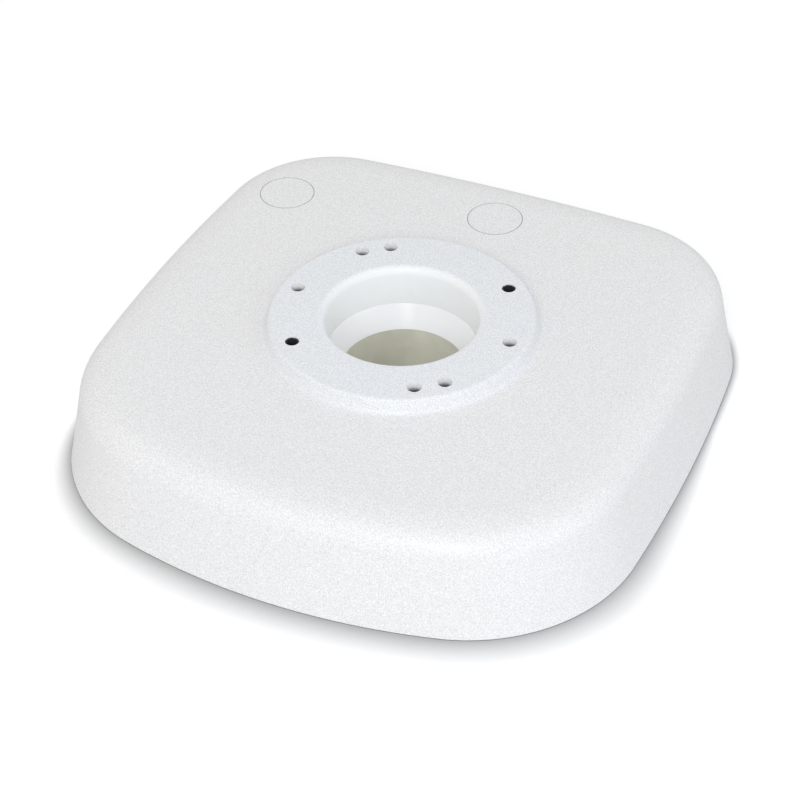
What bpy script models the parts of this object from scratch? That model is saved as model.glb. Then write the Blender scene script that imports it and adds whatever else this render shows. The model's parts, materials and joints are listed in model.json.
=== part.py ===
"""A marine radar scanner in a low, flat-topped radome with a hollow centre.

The radome's rim stands in the plane z = 0, and the hollow hub runs along the Z axis.
The front side, which is bowed a little more than the others, faces -Y. Sizes are in metres.
"""

import math

import bmesh
import bpy
from mathutils import Matrix, Vector

MM = 0.001
GAP = 0.3 * MM  # left between neighbouring pieces

# Plan outline of the rim: in each quarter a side arc, a corner arc and an end arc, all tangent.
HALF_WIDTH = 226.7 * MM
SIDE_RADIUS = 1415.0 * MM
WIDEST_Y = 9.4 * MM
FRONT = {"side_sweep": 4.35, "corner_radius": 133.4 * MM, "end_sweep": 14.23}
BACK = {"side_sweep": 4.77, "corner_radius": 104.3 * MM, "end_sweep": 3.53}
OUTLINE_STEPS = (2, 7, 3)  # points along the side, corner and end arc of a quarter

# Section of the radome.
DRAFT = 11.8  # degrees of wall slope
SHOULDER_RADIUS = 21.5 * MM
CROWN_RADIUS = 90.0 * MM
CROWN_SWEEP = 11.5  # degrees of the shoulder that the wider crown arc takes over
TOP_Z = 79.0 * MM
SKIN = 4.0 * MM
LEDGE_Z = 10.3 * MM
LEDGE_INSET = 13.0 * MM
LEDGE_HEIGHT = 3.0 * MM
LEDGE_SLOPE = 4.0 * MM  # height over which the ledge runs out into the wall
RECESS_INSET = 6.4 * MM  # the rim's recess that the base plate sits in
RECESS_DRAFT = 1.6 * MM  # how much wider the recess is at the rim

# Raised ring on the radome's top, and the bore through it.
RING_TOP_Z = 89.8 * MM
RING_FLAT_RADIUS = 99.0 * MM
RING_EDGE = 0.7 * MM
RING_FOOT_RADIUS = 107.0 * MM
LIP_OUTER_RADIUS = 63.3 * MM
BORE_TOP_RADIUS = 58.5 * MM
BORE_TOP_Z = 87.0 * MM
BORE_RADIUS = 57.4 * MM
COLLAR_Z = 57.0 * MM
COLLAR_RADIUS = 61.4 * MM
BOLT_CIRCLE_RADIUS = 86.5 * MM
RING_HOLE_RADIUS = 5.25 * MM
BLIND_HOLE_DEPTH = 9.0 * MM
BLIND_HOLE_ANGLES = (0, 120, 135, 180, 300, 315)
BUSHED_HOLE_ANGLES = (45, 225)
BUSH_WALL = 1.0 * MM
BUSH_SINK = 0.8 * MM

# Two flush plugs in the top, near its back edge.
PLUG_PLACES = {
    "blanking_plug_left": (-158.6 * MM, 124.7 * MM),
    "blanking_plug_right": (11.1 * MM, 156.3 * MM),
}
PLUG_RADIUS = 21.9 * MM
PLUG_DEPTH = 1.5 * MM

# Base plate and its fasteners.
PLATE_LOW_Z = 4.0 * MM
PLATE_TOP_Z = 8.0 * MM
PLATE_INSET = RECESS_INSET + 0.5 * MM
PLATE_HOLE_RADIUS = 51.4 * MM
GASKET_MARGIN = 1.6 * MM
PAD_RADIUS = 14.0 * MM
PAD_PLACES = [(sx * 100.0 * MM, sy * 100.0 * MM) for sx in (-1, 1) for sy in (-1, 1)]
INSERT_RADIUS = 6.5 * MM
INSERT_BORE = 4.25 * MM
INSERT_END_THICKNESS = 1.2 * MM
COVER_SCREW_INSET = 17.5 * MM
COVER_SCREW_ANGLES = (0, 45, 90, 135, 180, 225, 270, 315)
COVER_SCREW_RADIUS = 2.0 * MM
COVER_SCREW_PLAY = 0.8 * MM
COVER_SCREW_HEAD_RADIUS = 4.2 * MM
COVER_SCREW_HEAD_LOW_Z = 0.7 * MM
COVER_SCREW_TIP_Z = 17.0 * MM
COVER_BOSS_RADIUS = 5.5 * MM
COVER_BOSS_TOP_Z = 20.0 * MM
HUB_SCREW_CIRCLE = 57.5 * MM
HUB_SCREW_ANGLES = (20, 110, 200, 290)
HUB_SCREW_RADIUS = 1.6 * MM
HUB_SCREW_HEAD_RADIUS = 3.2 * MM
HUB_SCREW_HEAD_LOW_Z = 1.0 * MM

# Fixed hollow hub.
HUB_BORE = 47.6 * MM
HUB_RADIUS = 51.0 * MM
HUB_TOP_Z = 38.3 * MM
HUB_FLANGE_RADIUS = 62.0 * MM
HUB_FLANGE_TOP_Z = 11.3 * MM
HUB_LOW_Z = 1.0 * MM
FUNNEL_WALL = 2.5 * MM
FUNNEL_FLANGE_RADIUS = 65.0 * MM
FUNNEL_NECK_RADIUS = 59.0 * MM  # the cone's back, just under its flange
FUNNEL_TOP_Z = COLLAR_Z - 0.4 * MM
SEAL_RADIUS = 1.2 * MM

# Ball bearing between the hub and the turntable.
BEARING_LOW_Z = 18.0 * MM
BEARING_TOP_Z = 26.0 * MM
INNER_RACE_RADIUS = 55.0 * MM
OUTER_RACE_BORE = 61.0 * MM
OUTER_RACE_RADIUS = 65.0 * MM
BALL_RADIUS = 2.6 * MM
BALL_COUNT = 10
CAGE_HALF_WIDTH = 1.0 * MM
CAGE_HALF_HEIGHT = 1.5 * MM
RETAINER_TOP_Z = 29.0 * MM

# Turntable that carries the antenna array round the hub.
TURNTABLE_RADIUS = 92.0 * MM
TURNTABLE_LOW_Z = 22.0 * MM
SKIRT_RADIUS = 69.4 * MM
PULLEY_RADIUS = 75.0 * MM
PULLEY_LOW_Z = 13.0 * MM
PULLEY_TOP_Z = 20.0 * MM
PULLEY_FLANGE_REACH = 2.0 * MM
PULLEY_FLANGE_THICKNESS = 1.0 * MM
SLIP_RING_BORE = 60.0 * MM
SLIP_RING_LOW_Z = 12.4 * MM
SLIP_RING_TOP_Z = 16.4 * MM
BRUSH_OUTER_RADIUS = 70.0 * MM
BRUSH_ANGLES = (235.0, 265.0)
COUNTERWEIGHT_RADII = (67.0 * MM, 90.0 * MM)
COUNTERWEIGHT_ANGLES = (40.0, 140.0)
COUNTERWEIGHT_TOP_Z = 41.0 * MM
HOME_RADIUS = 87.0 * MM  # circle of the magnet, and of the sensor it passes over
HOME_ANGLE = 200.0
MAGNET_RADIUS = 3.0 * MM
MAGNET_DEPTH = 2.0 * MM
SENSOR_HALF_X = 4.0 * MM
SENSOR_HALF_Y = 3.5 * MM
SENSOR_TOP_Z = 18.8 * MM

# Antenna array, facing -Y.
ARRAY_HALF_LENGTH = 165.0 * MM
ARRAY_LOW_Z = 29.0 * MM
ARRAY_TOP_Z = 65.0 * MM
TRAY_FRONT_Y = -92.0 * MM
TRAY_BACK_Y = -80.0 * MM
TRAY_WALL = 2.0 * MM
PATCH_BOARD_SINK = 0.5 * MM
PATCH_BOARD_THICKNESS = 1.6 * MM
MODULE_HALF_LENGTH = 42.0 * MM
MODULE_BACK_Y = -69.0 * MM
MODULE_LOW_Z = 31.0 * MM
MODULE_TOP_Z = 61.0 * MM
LID_BACK_Y = -67.4 * MM
LID_MARGIN = 1.0 * MM
BRACKET_NEAR_X = 56.0 * MM
BRACKET_FAR_X = 78.0 * MM
BRACKET_FOOT_Y = -50.0 * MM
BRACKET_TOP_Z = 58.0 * MM
BRACKET_THICKNESS = 2.0 * MM

# Belt drive in the back right corner.
MOTOR_PLACE = (150.0 * MM, 150.0 * MM)
MOTOR_RADIUS = 21.0 * MM
MOTOR_LOW_Z = 24.3 * MM
MOTOR_TOP_Z = 54.0 * MM
MOTOR_EDGE = 2.0 * MM
MOTOR_SOCKET_DEPTH = 6.5 * MM
MOTOR_PULLEY_RADIUS = 11.0 * MM
SHAFT_RADIUS = 2.5 * MM
SHAFT_REACH = 6.0 * MM  # into the motor's socket
MOUNT_HALF_WIDTH = 24.0 * MM
MOUNT_THICKNESS = 3.0 * MM
MOUNT_FOOT_REACH = 7.0 * MM
MOUNT_HOLE_RADIUS = 8.0 * MM
BELT_THICKNESS = 1.5 * MM
BELT_LOW_Z = 14.3 * MM
BELT_TOP_Z = 18.7 * MM

# Circuit boards, each from its low corner to its high corner.
BOARD_LOW_Z = 12.0 * MM
BOARD_TOP_Z = 13.6 * MM
CONTROL_BOARD = ((-196.0 * MM, -70.0 * MM), (-104.0 * MM, 70.0 * MM))
POWER_BOARD = ((106.0 * MM, -104.0 * MM), (194.0 * MM, 6.0 * MM))
BOARD_POST_RADIUS = 3.2 * MM
BOARD_POST_MARGIN = 6.0 * MM

# Components: places are counted from their board's low corner.
SHIELD_PLACE = (24.0 * MM, 44.0 * MM)
SHIELD_SIZE = (44.0 * MM, 52.0 * MM, 7.0 * MM)
HEAT_SINK_PLACE = (12.0 * MM, 14.0 * MM)
HEAT_SINK_SIZE = (40.0 * MM, 34.0 * MM, 10.0 * MM)
HEAT_SINK_BASE = 2.7 * MM
FIN_SLOTS = 6
FIN_PITCH = 6.0 * MM
FIN_SLOT_WIDTH = 3.0 * MM
FIRST_FIN_WIDTH = 3.5 * MM
CAPACITOR_PLACES = {"capacitor_1": (60.0 * MM, 30.0 * MM), "capacitor_2": (74.0 * MM, 30.0 * MM)}
CAPACITOR_RADIUS = 5.0 * MM
CAPACITOR_HEIGHT = 11.5 * MM
INDUCTOR_PLACE = (62.0 * MM, 66.0 * MM)
INDUCTOR_RADIUS = 8.0 * MM
INDUCTOR_WINDING_RADIUS = 3.5 * MM

# Sockets and vent in the base plate.
CONNECTOR_PLACES = {
    "power_connector": (60.0 * MM, -165.0 * MM),
    "network_connector": (-60.0 * MM, -165.0 * MM),
}
CONNECTOR_RADIUS = 9.0 * MM
CONNECTOR_BACK_RADIUS = 7.5 * MM
CONNECTOR_FLANGE_RADIUS = 12.0 * MM
CONNECTOR_SOCKET_RADIUS = 6.5 * MM
CONNECTOR_SOCKET_TOP_Z = 6.0 * MM
CONNECTOR_LOW_Z = 0.6 * MM
CONNECTOR_TOP_Z = 18.0 * MM
VENT_PLACE = (0.0, -185.0 * MM)
VENT_SHANK_RADIUS = 4.0 * MM
VENT_CAP_RADIUS = 7.0 * MM
VENT_EDGE = 0.8 * MM
VENT_LOW_Z = 0.8 * MM
VENT_TOP_Z = 10.0 * MM

# Cables along the base plate.
CABLE_RADIUS = 1.5 * MM
CABLE_RISE = 6.0 * MM  # up to a board's edge
BOARD_CABLE_Y = -128.0 * MM
MOTOR_CABLE_Y = 176.0 * MM
MOTOR_CABLE_TOP_Z = 30.0 * MM

LARGE_STEPS = 32
SMALL_STEPS = 12

# Finish: colour, roughness and metallic value.
GELCOAT = ((0.83, 0.83, 0.82), 0.45, 0.0)
GLOSS_WHITE = ((0.86, 0.87, 0.88), 0.2, 0.0)
KHAKI_PLASTIC = ((0.39, 0.39, 0.34), 0.5, 0.0)
BLACK_RUBBER = ((0.02, 0.02, 0.02), 0.8, 0.0)
CAST_ALUMINIUM = ((0.62, 0.63, 0.64), 0.55, 1.0)
BRIGHT_ALUMINIUM = ((0.8, 0.81, 0.82), 0.3, 1.0)
STAINLESS = ((0.66, 0.65, 0.63), 0.25, 1.0)
BRASS = ((0.75, 0.56, 0.25), 0.3, 1.0)
LEAD_GREY = ((0.28, 0.29, 0.3), 0.6, 1.0)
BLACK_PLASTIC = ((0.03, 0.03, 0.035), 0.5, 0.0)
GREY_PLASTIC = ((0.3, 0.31, 0.32), 0.5, 0.0)
GREEN_BOARD = ((0.02, 0.16, 0.07), 0.35, 0.0)
BOARD_CREAM = ((0.62, 0.56, 0.4), 0.4, 0.0)
COPPER = ((0.72, 0.33, 0.16), 0.35, 1.0)


# ---------------------------------------------------------------- scene helpers


def clear_scene():
    for old in list(bpy.data.objects):
        bpy.data.objects.remove(old, do_unlink=True)


def new_collection(name):
    collection = bpy.data.collections.new(name)
    bpy.context.scene.collection.children.link(collection)
    return collection


clear_scene()
PARTS = new_collection("radar_scanner")
CUTTERS = new_collection("cutters")


def paint(piece, finish):
    """Gives a piece its own Principled material."""
    colour, roughness, metallic = finish
    material = bpy.data.materials.new(piece.name)
    material.use_nodes = True
    shader = material.node_tree.nodes["Principled BSDF"]
    shader.inputs["Base Color"].default_value = (*colour, 1.0)
    shader.inputs["Roughness"].default_value = roughness
    shader.inputs["Metallic"].default_value = metallic
    material.diffuse_color = (*colour, 1.0)
    piece.data.materials.append(material)


def add_piece(name, mesh, finish, location=(0.0, 0.0, 0.0)):
    piece = bpy.data.objects.new(name, mesh)
    piece.location = location
    PARTS.objects.link(piece)
    paint(piece, finish)
    return piece


def add_cutter(name, mesh):
    """A helper solid that only cuts or joins other pieces."""
    cutter = bpy.data.objects.new(name, mesh)
    CUTTERS.objects.link(cutter)
    cutter.hide_render = True
    cutter.display_type = "WIRE"
    return cutter


def combine(piece, operation, cutter):
    modifier = piece.modifiers.new(operation.lower(), "BOOLEAN")
    modifier.operation = operation
    modifier.solver = "EXACT"
    modifier.object = cutter


def joint_empty(name, x=0.0, y=0.0):
    """Marks a vertical joint axis; the pieces that move on it are its children."""
    empty = bpy.data.objects.new(name, None)
    empty.location = (x, y, 0.0)
    PARTS.objects.link(empty)
    return empty


def attach(pieces, empty):
    for piece in pieces:
        piece.parent = empty
        piece.matrix_parent_inverse = Matrix.Translation(-empty.location)


def shade(mesh, sharp_degrees=35.0):
    mesh.shade_smooth()
    mesh.set_sharp_from_angle(angle=math.radians(sharp_degrees))


# ---------------------------------------------------------------- shape helpers


def finish_mesh(name, bm):
    mesh = bpy.data.meshes.new(name)
    bm.to_mesh(mesh)
    bm.free()
    return mesh


def boxes_mesh(name, boxes):
    """Boxes given as (low corner, high corner), each from a unit cube."""
    bm = bmesh.new()
    for low, high in boxes:
        low, high = Vector(low), Vector(high)
        place = Matrix.Translation((low + high) / 2) @ Matrix.Diagonal((*(high - low), 1.0))
        bmesh.ops.create_cube(bm, size=1.0, matrix=place)
    return finish_mesh(name, bm)


def block(name, low, high, finish, bevel=0.0):
    piece = add_piece(name, boxes_mesh(name, [(low, high)]), finish)
    if bevel:
        rounding = piece.modifiers.new("rounding", "BEVEL")
        rounding.width = bevel
        rounding.segments = 1
    return piece


def rods_mesh(name, rods, low_z, high_z, steps=SMALL_STEPS):
    """Upright cylinders given as (x, y, radius)."""
    bm = bmesh.new()
    for x, y, radius in rods:
        place = Matrix.Translation((x, y, (low_z + high_z) / 2))
        bmesh.ops.create_cone(
            bm, cap_ends=True, segments=steps, radius1=radius, radius2=radius,
            depth=high_z - low_z, matrix=place,
        )
    return finish_mesh(name, bm)


def drill(piece, label, holes, low_z, high_z, steps=SMALL_STEPS):
    combine(piece, "DIFFERENCE", add_cutter(label, rods_mesh(label, holes, low_z, high_z, steps)))


def add_posts(piece, label, posts, low_z, high_z, steps=SMALL_STEPS):
    combine(piece, "UNION", add_cutter(label, rods_mesh(label, posts, low_z, high_z, steps)))


def turned(name, profile, finish, x=0.0, y=0.0, steps=LARGE_STEPS):
    """Turns (radius, height) points about a vertical axis.

    The points run outwards over the top, down the outer side and back in. A profile that
    starts on the axis also ends on it; any other profile is closed into a loop.
    """
    mesh = bpy.data.meshes.new(name)
    count = len(profile)
    edges = [(i, i + 1) for i in range(count - 1)]
    if profile[0][0] > 0.0:
        edges.append((count - 1, 0))
    mesh.from_pydata([(radius, 0.0, z) for radius, z in profile], edges, [])
    piece = add_piece(name, mesh, finish, (x, y, 0.0))
    screw = piece.modifiers.new("turn", "SCREW")
    screw.steps = steps
    screw.render_steps = steps
    screw.use_merge_vertices = True
    screw.merge_threshold = 0.01 * MM
    screw.use_smooth_shade = True
    return piece


def ring_profile(inner, outer, low_z, high_z):
    """A rectangular ring section."""
    return [(inner, high_z), (outer, high_z), (outer, low_z), (inner, low_z)]


def skin(name, rings):
    """Joins rings of equally many points into one closed surface, the last ring to the first."""
    bm = bmesh.new()
    loops = [[bm.verts.new(point) for point in ring] for ring in rings]
    count = len(rings[0])
    for lower, upper in zip(loops, loops[1:] + loops[:1]):
        for i in range(count):
            j = (i + 1) % count
            bm.faces.new((lower[i], lower[j], upper[j], upper[i]))
    return finish_mesh(name, bm)


def prism(name, points, low_z, high_z):
    """Extrudes a flat outline, listed anticlockwise, from low_z to high_z."""
    bm = bmesh.new()
    face = bm.faces.new([bm.verts.new((x, y, low_z)) for x, y in points])
    grown = bmesh.ops.extrude_face_region(bm, geom=[face])["geom"]
    moved = [item for item in grown if isinstance(item, bmesh.types.BMVert)]
    bmesh.ops.translate(bm, verts=moved, vec=(0.0, 0.0, high_z - low_z))
    bmesh.ops.recalc_face_normals(bm, faces=bm.faces)
    return finish_mesh(name, bm)


def polar(radius, degrees):
    angle = math.radians(degrees)
    return radius * math.cos(angle), radius * math.sin(angle)


def circle(radius, z, count):
    return [(*polar(radius, 360.0 * i / count), z) for i in range(count)]


# ---------------------------------------------------------------- plan outline


def quarter_point(shape, degrees, inset):
    """The point of one quarter where the outline's normal is degrees away from the side's."""
    side = math.radians(shape["side_sweep"])
    end = math.radians(shape["end_sweep"])
    corner_radius = shape["corner_radius"]
    side_x = HALF_WIDTH - SIDE_RADIUS
    corner_x = side_x + (SIDE_RADIUS - corner_radius) * math.cos(side)
    corner_y = (SIDE_RADIUS - corner_radius) * math.sin(side)
    end_radius = corner_radius + corner_x / math.sin(end)
    end_y = corner_y - (end_radius - corner_radius) * math.cos(end)
    if degrees <= shape["side_sweep"]:
        x, y, radius = side_x, 0.0, SIDE_RADIUS
    elif degrees <= 90.0 - shape["end_sweep"]:
        x, y, radius = corner_x, corner_y, corner_radius
    else:
        x, y, radius = 0.0, end_y, end_radius
    along_x, along_y = polar(radius - inset, degrees)
    return x + along_x, y + along_y


def plan_point(degrees, inset):
    """The outline's point whose outward normal points degrees anticlockwise from +X."""
    across = math.cos(math.radians(degrees))
    along = math.sin(math.radians(degrees))
    x, y = quarter_point(
        BACK if along >= 0.0 else FRONT, math.degrees(math.atan2(abs(along), abs(across))), inset
    )
    return math.copysign(x, across), WIDEST_Y + math.copysign(y, along)


def quarter_angles(shape):
    marks = (0.0, shape["side_sweep"], 90.0 - shape["end_sweep"], 90.0)
    angles = [
        low + (high - low) * i / steps
        for low, high, steps in zip(marks, marks[1:], OUTLINE_STEPS)
        for i in range(steps)
    ]
    return angles + [90.0]


def outline_angles():
    """Normal angles of the outline's points, anticlockwise from +X."""
    back, front = quarter_angles(BACK), quarter_angles(FRONT)
    return (
        back[:-1]
        + [180.0 - angle for angle in reversed(back)][:-1]
        + [180.0 + angle for angle in front][:-1]
        + [360.0 - angle for angle in reversed(front)][:-1]
    )


OUTLINE_ANGLES = outline_angles()


def outline(inset, z):
    return [(*plan_point(angle, inset), z) for angle in OUTLINE_ANGLES]


def flat_outline(inset):
    return [plan_point(angle, inset) for angle in OUTLINE_ANGLES]


# ---------------------------------------------------------------- radome


def shoulder(offset, steps):
    """(inset, z) along the shoulder, from the wall to the flat top, offset inwards from the outside.

    The wall turns into the top through the shoulder arc and then the wider crown arc.
    """
    draft = math.radians(DRAFT)
    handover = math.radians(90.0 - CROWN_SWEEP)
    crown_z = TOP_Z - CROWN_RADIUS
    centre_z = crown_z + (CROWN_RADIUS - SHOULDER_RADIUS) * math.sin(handover)
    centre_inset = centre_z * math.tan(draft) + SHOULDER_RADIUS / math.cos(draft)
    crown_inset = centre_inset + (CROWN_RADIUS - SHOULDER_RADIUS) * math.cos(handover)
    points = []
    for i in range(steps + 1):
        angle = draft + (handover - draft) * i / steps
        radius = SHOULDER_RADIUS - offset
        points.append((centre_inset - radius * math.cos(angle), centre_z + radius * math.sin(angle)))
    points.append((crown_inset, TOP_Z - offset))
    return points


def wall_inset(z, offset):
    draft = math.radians(DRAFT)
    return z * math.tan(draft) + offset / math.cos(draft)


def radome_rings():
    """The radome's section as rings, up the outside, down the bore and back along the inside."""
    count = len(OUTLINE_ANGLES)
    rise = RING_TOP_Z - TOP_Z
    lip_width, lip_depth = LIP_OUTER_RADIUS - BORE_TOP_RADIUS, RING_TOP_Z - BORE_TOP_Z
    rings = [outline(0.0, 0.0)]
    rings += [outline(inset, z) for inset, z in shoulder(0.0, 5)]
    for radius, z in (
        (RING_FOOT_RADIUS, TOP_Z),  # the ring's concave foot, its steep flank and its rounded edge
        (RING_FOOT_RADIUS - 0.45 * rise, TOP_Z + 0.08 * rise),
        (RING_FLAT_RADIUS + 0.2 * rise, TOP_Z + 0.35 * rise),
        (RING_FLAT_RADIUS + RING_EDGE, RING_TOP_Z - 1.7 * RING_EDGE),
        (RING_FLAT_RADIUS, RING_TOP_Z),
        (LIP_OUTER_RADIUS, RING_TOP_Z),
        (BORE_TOP_RADIUS + 0.28 * lip_width, RING_TOP_Z - 0.32 * lip_depth),
        (BORE_TOP_RADIUS, BORE_TOP_Z),
        (BORE_RADIUS, COLLAR_Z),
        (COLLAR_RADIUS, COLLAR_Z),
        (COLLAR_RADIUS, TOP_Z - SKIN),
    ):
        rings.append(circle(radius, z, count))
    rings += [outline(inset, z) for inset, z in reversed(shoulder(SKIN, 3))]
    ledge_top = LEDGE_Z + LEDGE_HEIGHT
    slope_top = ledge_top + LEDGE_SLOPE
    rings += [
        outline(wall_inset(slope_top, SKIN), slope_top),
        outline(LEDGE_INSET, ledge_top),
        outline(LEDGE_INSET, LEDGE_Z),
        outline(RECESS_INSET, LEDGE_Z),
        outline(RECESS_INSET - RECESS_DRAFT, 0.0),
    ]
    return rings


def ring_places(angles):
    return [polar(BOLT_CIRCLE_RADIUS, angle) for angle in angles]


def cover_screw_places():
    return [plan_point(angle, COVER_SCREW_INSET) for angle in COVER_SCREW_ANGLES]


def make_radome():
    mesh = skin("radome_shell", radome_rings())
    shade(mesh, 30.0)
    shell = add_piece("radome_shell", mesh, GELCOAT)
    bosses = [(x, y, COVER_BOSS_RADIUS) for x, y in cover_screw_places()]
    add_posts(shell, "cover_bosses", bosses, PLATE_TOP_Z + 2 * GAP, COVER_BOSS_TOP_Z)
    threads = [(x, y, COVER_SCREW_RADIUS + GAP) for x, y in cover_screw_places()]
    drill(shell, "cover_threads", threads, PLATE_TOP_Z, COVER_BOSS_TOP_Z - 2.0 * MM, 10)
    blind = [(x, y, RING_HOLE_RADIUS) for x, y in ring_places(BLIND_HOLE_ANGLES)]
    drill(shell, "blind_ring_holes", blind, RING_TOP_Z - BLIND_HOLE_DEPTH, RING_TOP_Z + MM)
    through = [(x, y, RING_HOLE_RADIUS) for x, y in ring_places(BUSHED_HOLE_ANGLES)]
    drill(shell, "through_ring_holes", through, TOP_Z - 2 * SKIN, RING_TOP_Z + MM)
    seats = [(x, y, PLUG_RADIUS + GAP) for x, y in PLUG_PLACES.values()]
    drill(shell, "plug_seats", seats, TOP_Z - PLUG_DEPTH - GAP, TOP_Z + MM, 32)
    pieces = [shell]
    for name, (x, y) in PLUG_PLACES.items():
        low_z = TOP_Z - PLUG_DEPTH
        profile = [(0.0, TOP_Z), (PLUG_RADIUS, TOP_Z), (PLUG_RADIUS, low_z), (0.0, low_z)]
        pieces.append(turned(name, profile, GELCOAT, x, y, 32))
    for number, (x, y) in enumerate(ring_places(BUSHED_HOLE_ANGLES), 1):
        profile = ring_profile(
            RING_HOLE_RADIUS - GAP - BUSH_WALL, RING_HOLE_RADIUS - GAP,
            TOP_Z - SKIN, RING_TOP_Z - BUSH_SINK,
        )
        pieces.append(turned(f"mount_bush_{number}", profile, BLACK_RUBBER, x, y, SMALL_STEPS))
    return pieces


# ---------------------------------------------------------------- base


def make_base_plate():
    mesh = prism("base_plate", flat_outline(PLATE_INSET), PLATE_LOW_Z, PLATE_TOP_Z)
    plate = add_piece("base_plate", mesh, CAST_ALUMINIUM)
    pads = [(x, y, PAD_RADIUS) for x, y in PAD_PLACES]
    add_posts(plate, "base_pads", pads, 0.0, PLATE_LOW_Z + MM, 20)
    posts = [(x, y, BOARD_POST_RADIUS) for x, y in board_posts(*CONTROL_BOARD) + board_posts(*POWER_BOARD)]
    add_posts(plate, "board_posts", posts, PLATE_LOW_Z + MM, BOARD_LOW_Z - GAP, 8)
    hub_hole = [(0.0, 0.0, PLATE_HOLE_RADIUS)]
    drill(plate, "hub_opening", hub_hole, PLATE_LOW_Z - MM, PLATE_TOP_Z + MM, LARGE_STEPS)
    holes = [(x, y, COVER_SCREW_RADIUS + COVER_SCREW_PLAY) for x, y in cover_screw_places()]
    holes += [(x, y, HUB_SCREW_RADIUS + GAP) for x, y in hub_screw_places()]
    holes += [(*place, CONNECTOR_RADIUS + 2 * GAP) for place in CONNECTOR_PLACES.values()]
    holes += [(*VENT_PLACE, VENT_SHANK_RADIUS + GAP)]
    drill(plate, "plate_holes", holes, PLATE_LOW_Z - MM, PLATE_TOP_Z + MM)
    insert_holes = [(x, y, INSERT_RADIUS + GAP) for x, y in PAD_PLACES]
    drill(plate, "insert_holes", insert_holes, -MM, PLATE_TOP_Z + MM)


def make_base_gasket():
    inner, outer = LEDGE_INSET - GASKET_MARGIN, RECESS_INSET + GASKET_MARGIN
    low_z, high_z = PLATE_TOP_Z + GAP, LEDGE_Z - GAP
    rings = [
        outline(outer, low_z), outline(outer, high_z), outline(inner, high_z), outline(inner, low_z),
    ]
    add_piece("base_gasket", skin("base_gasket", rings), BLACK_RUBBER)


def screw_profile(radius, head_radius, head_low_z, head_top_z, tip_z):
    """A pan-head screw with its head at the bottom and its tip up."""
    return [
        (0.0, tip_z), (radius, tip_z), (radius, head_top_z), (head_radius, head_top_z),
        (head_radius, head_low_z), (0.0, head_low_z),
    ]


def hub_screw_places():
    return [polar(HUB_SCREW_CIRCLE, angle) for angle in HUB_SCREW_ANGLES]


def make_base_fasteners():
    head_top = PLATE_LOW_Z - GAP
    cover = screw_profile(
        COVER_SCREW_RADIUS, COVER_SCREW_HEAD_RADIUS, COVER_SCREW_HEAD_LOW_Z, head_top, COVER_SCREW_TIP_Z
    )
    for number, (x, y) in enumerate(cover_screw_places(), 1):
        turned(f"cover_screw_{number}", cover, STAINLESS, x, y, 8)
    hub = screw_profile(
        HUB_SCREW_RADIUS, HUB_SCREW_HEAD_RADIUS, HUB_SCREW_HEAD_LOW_Z, head_top, HUB_FLANGE_TOP_Z - GAP
    )
    for number, (x, y) in enumerate(hub_screw_places(), 1):
        turned(f"hub_screw_{number}", hub, STAINLESS, x, y, 8)
    top_z = PLATE_TOP_Z - GAP
    insert = [
        (0.0, top_z), (INSERT_RADIUS, top_z), (INSERT_RADIUS, GAP), (INSERT_BORE, GAP),
        (INSERT_BORE, top_z - INSERT_END_THICKNESS), (0.0, top_z - INSERT_END_THICKNESS),
    ]
    for number, (x, y) in enumerate(PAD_PLACES, 1):
        turned(f"base_insert_{number}", insert, BRASS, x, y, SMALL_STEPS)


# ---------------------------------------------------------------- hollow hub and bearing


def make_hub():
    shoulder_radius = INNER_RACE_RADIUS - MM
    shoulder_z = BEARING_LOW_Z - GAP
    profile = [
        (HUB_BORE, HUB_TOP_Z), (HUB_RADIUS, HUB_TOP_Z), (HUB_RADIUS, shoulder_z),
        (shoulder_radius, shoulder_z), (shoulder_radius, HUB_FLANGE_TOP_Z),
        (HUB_FLANGE_RADIUS, HUB_FLANGE_TOP_Z), (HUB_FLANGE_RADIUS, PLATE_TOP_Z + GAP),
        (HUB_RADIUS, PLATE_TOP_Z + GAP), (HUB_RADIUS, HUB_LOW_Z), (HUB_BORE, HUB_LOW_Z),
    ]
    tube = turned("hub_tube", profile, KHAKI_PLASTIC)
    threads = [(x, y, HUB_SCREW_RADIUS + GAP) for x, y in hub_screw_places()]
    drill(tube, "hub_threads", threads, PLATE_TOP_Z - MM, HUB_FLANGE_TOP_Z + MM, 10)
    flange_low_z = FUNNEL_TOP_Z - FUNNEL_WALL
    funnel = [
        (BORE_RADIUS, FUNNEL_TOP_Z), (FUNNEL_FLANGE_RADIUS, FUNNEL_TOP_Z),
        (FUNNEL_FLANGE_RADIUS, flange_low_z), (FUNNEL_NECK_RADIUS, flange_low_z),
        (HUB_RADIUS, HUB_TOP_Z + GAP), (HUB_BORE, HUB_TOP_Z + GAP),
    ]
    turned("hub_funnel", funnel, GLOSS_WHITE)
    seal_circle = COLLAR_RADIUS + SEAL_RADIUS + GAP
    seal_z = FUNNEL_TOP_Z + SEAL_RADIUS + GAP
    sides = 6
    seal = []
    for i in range(sides):
        reach, rise = polar(SEAL_RADIUS, 90.0 - 360.0 * i / sides)
        seal.append((seal_circle + reach, seal_z + rise))
    turned("collar_seal", seal, BLACK_RUBBER)


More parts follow.
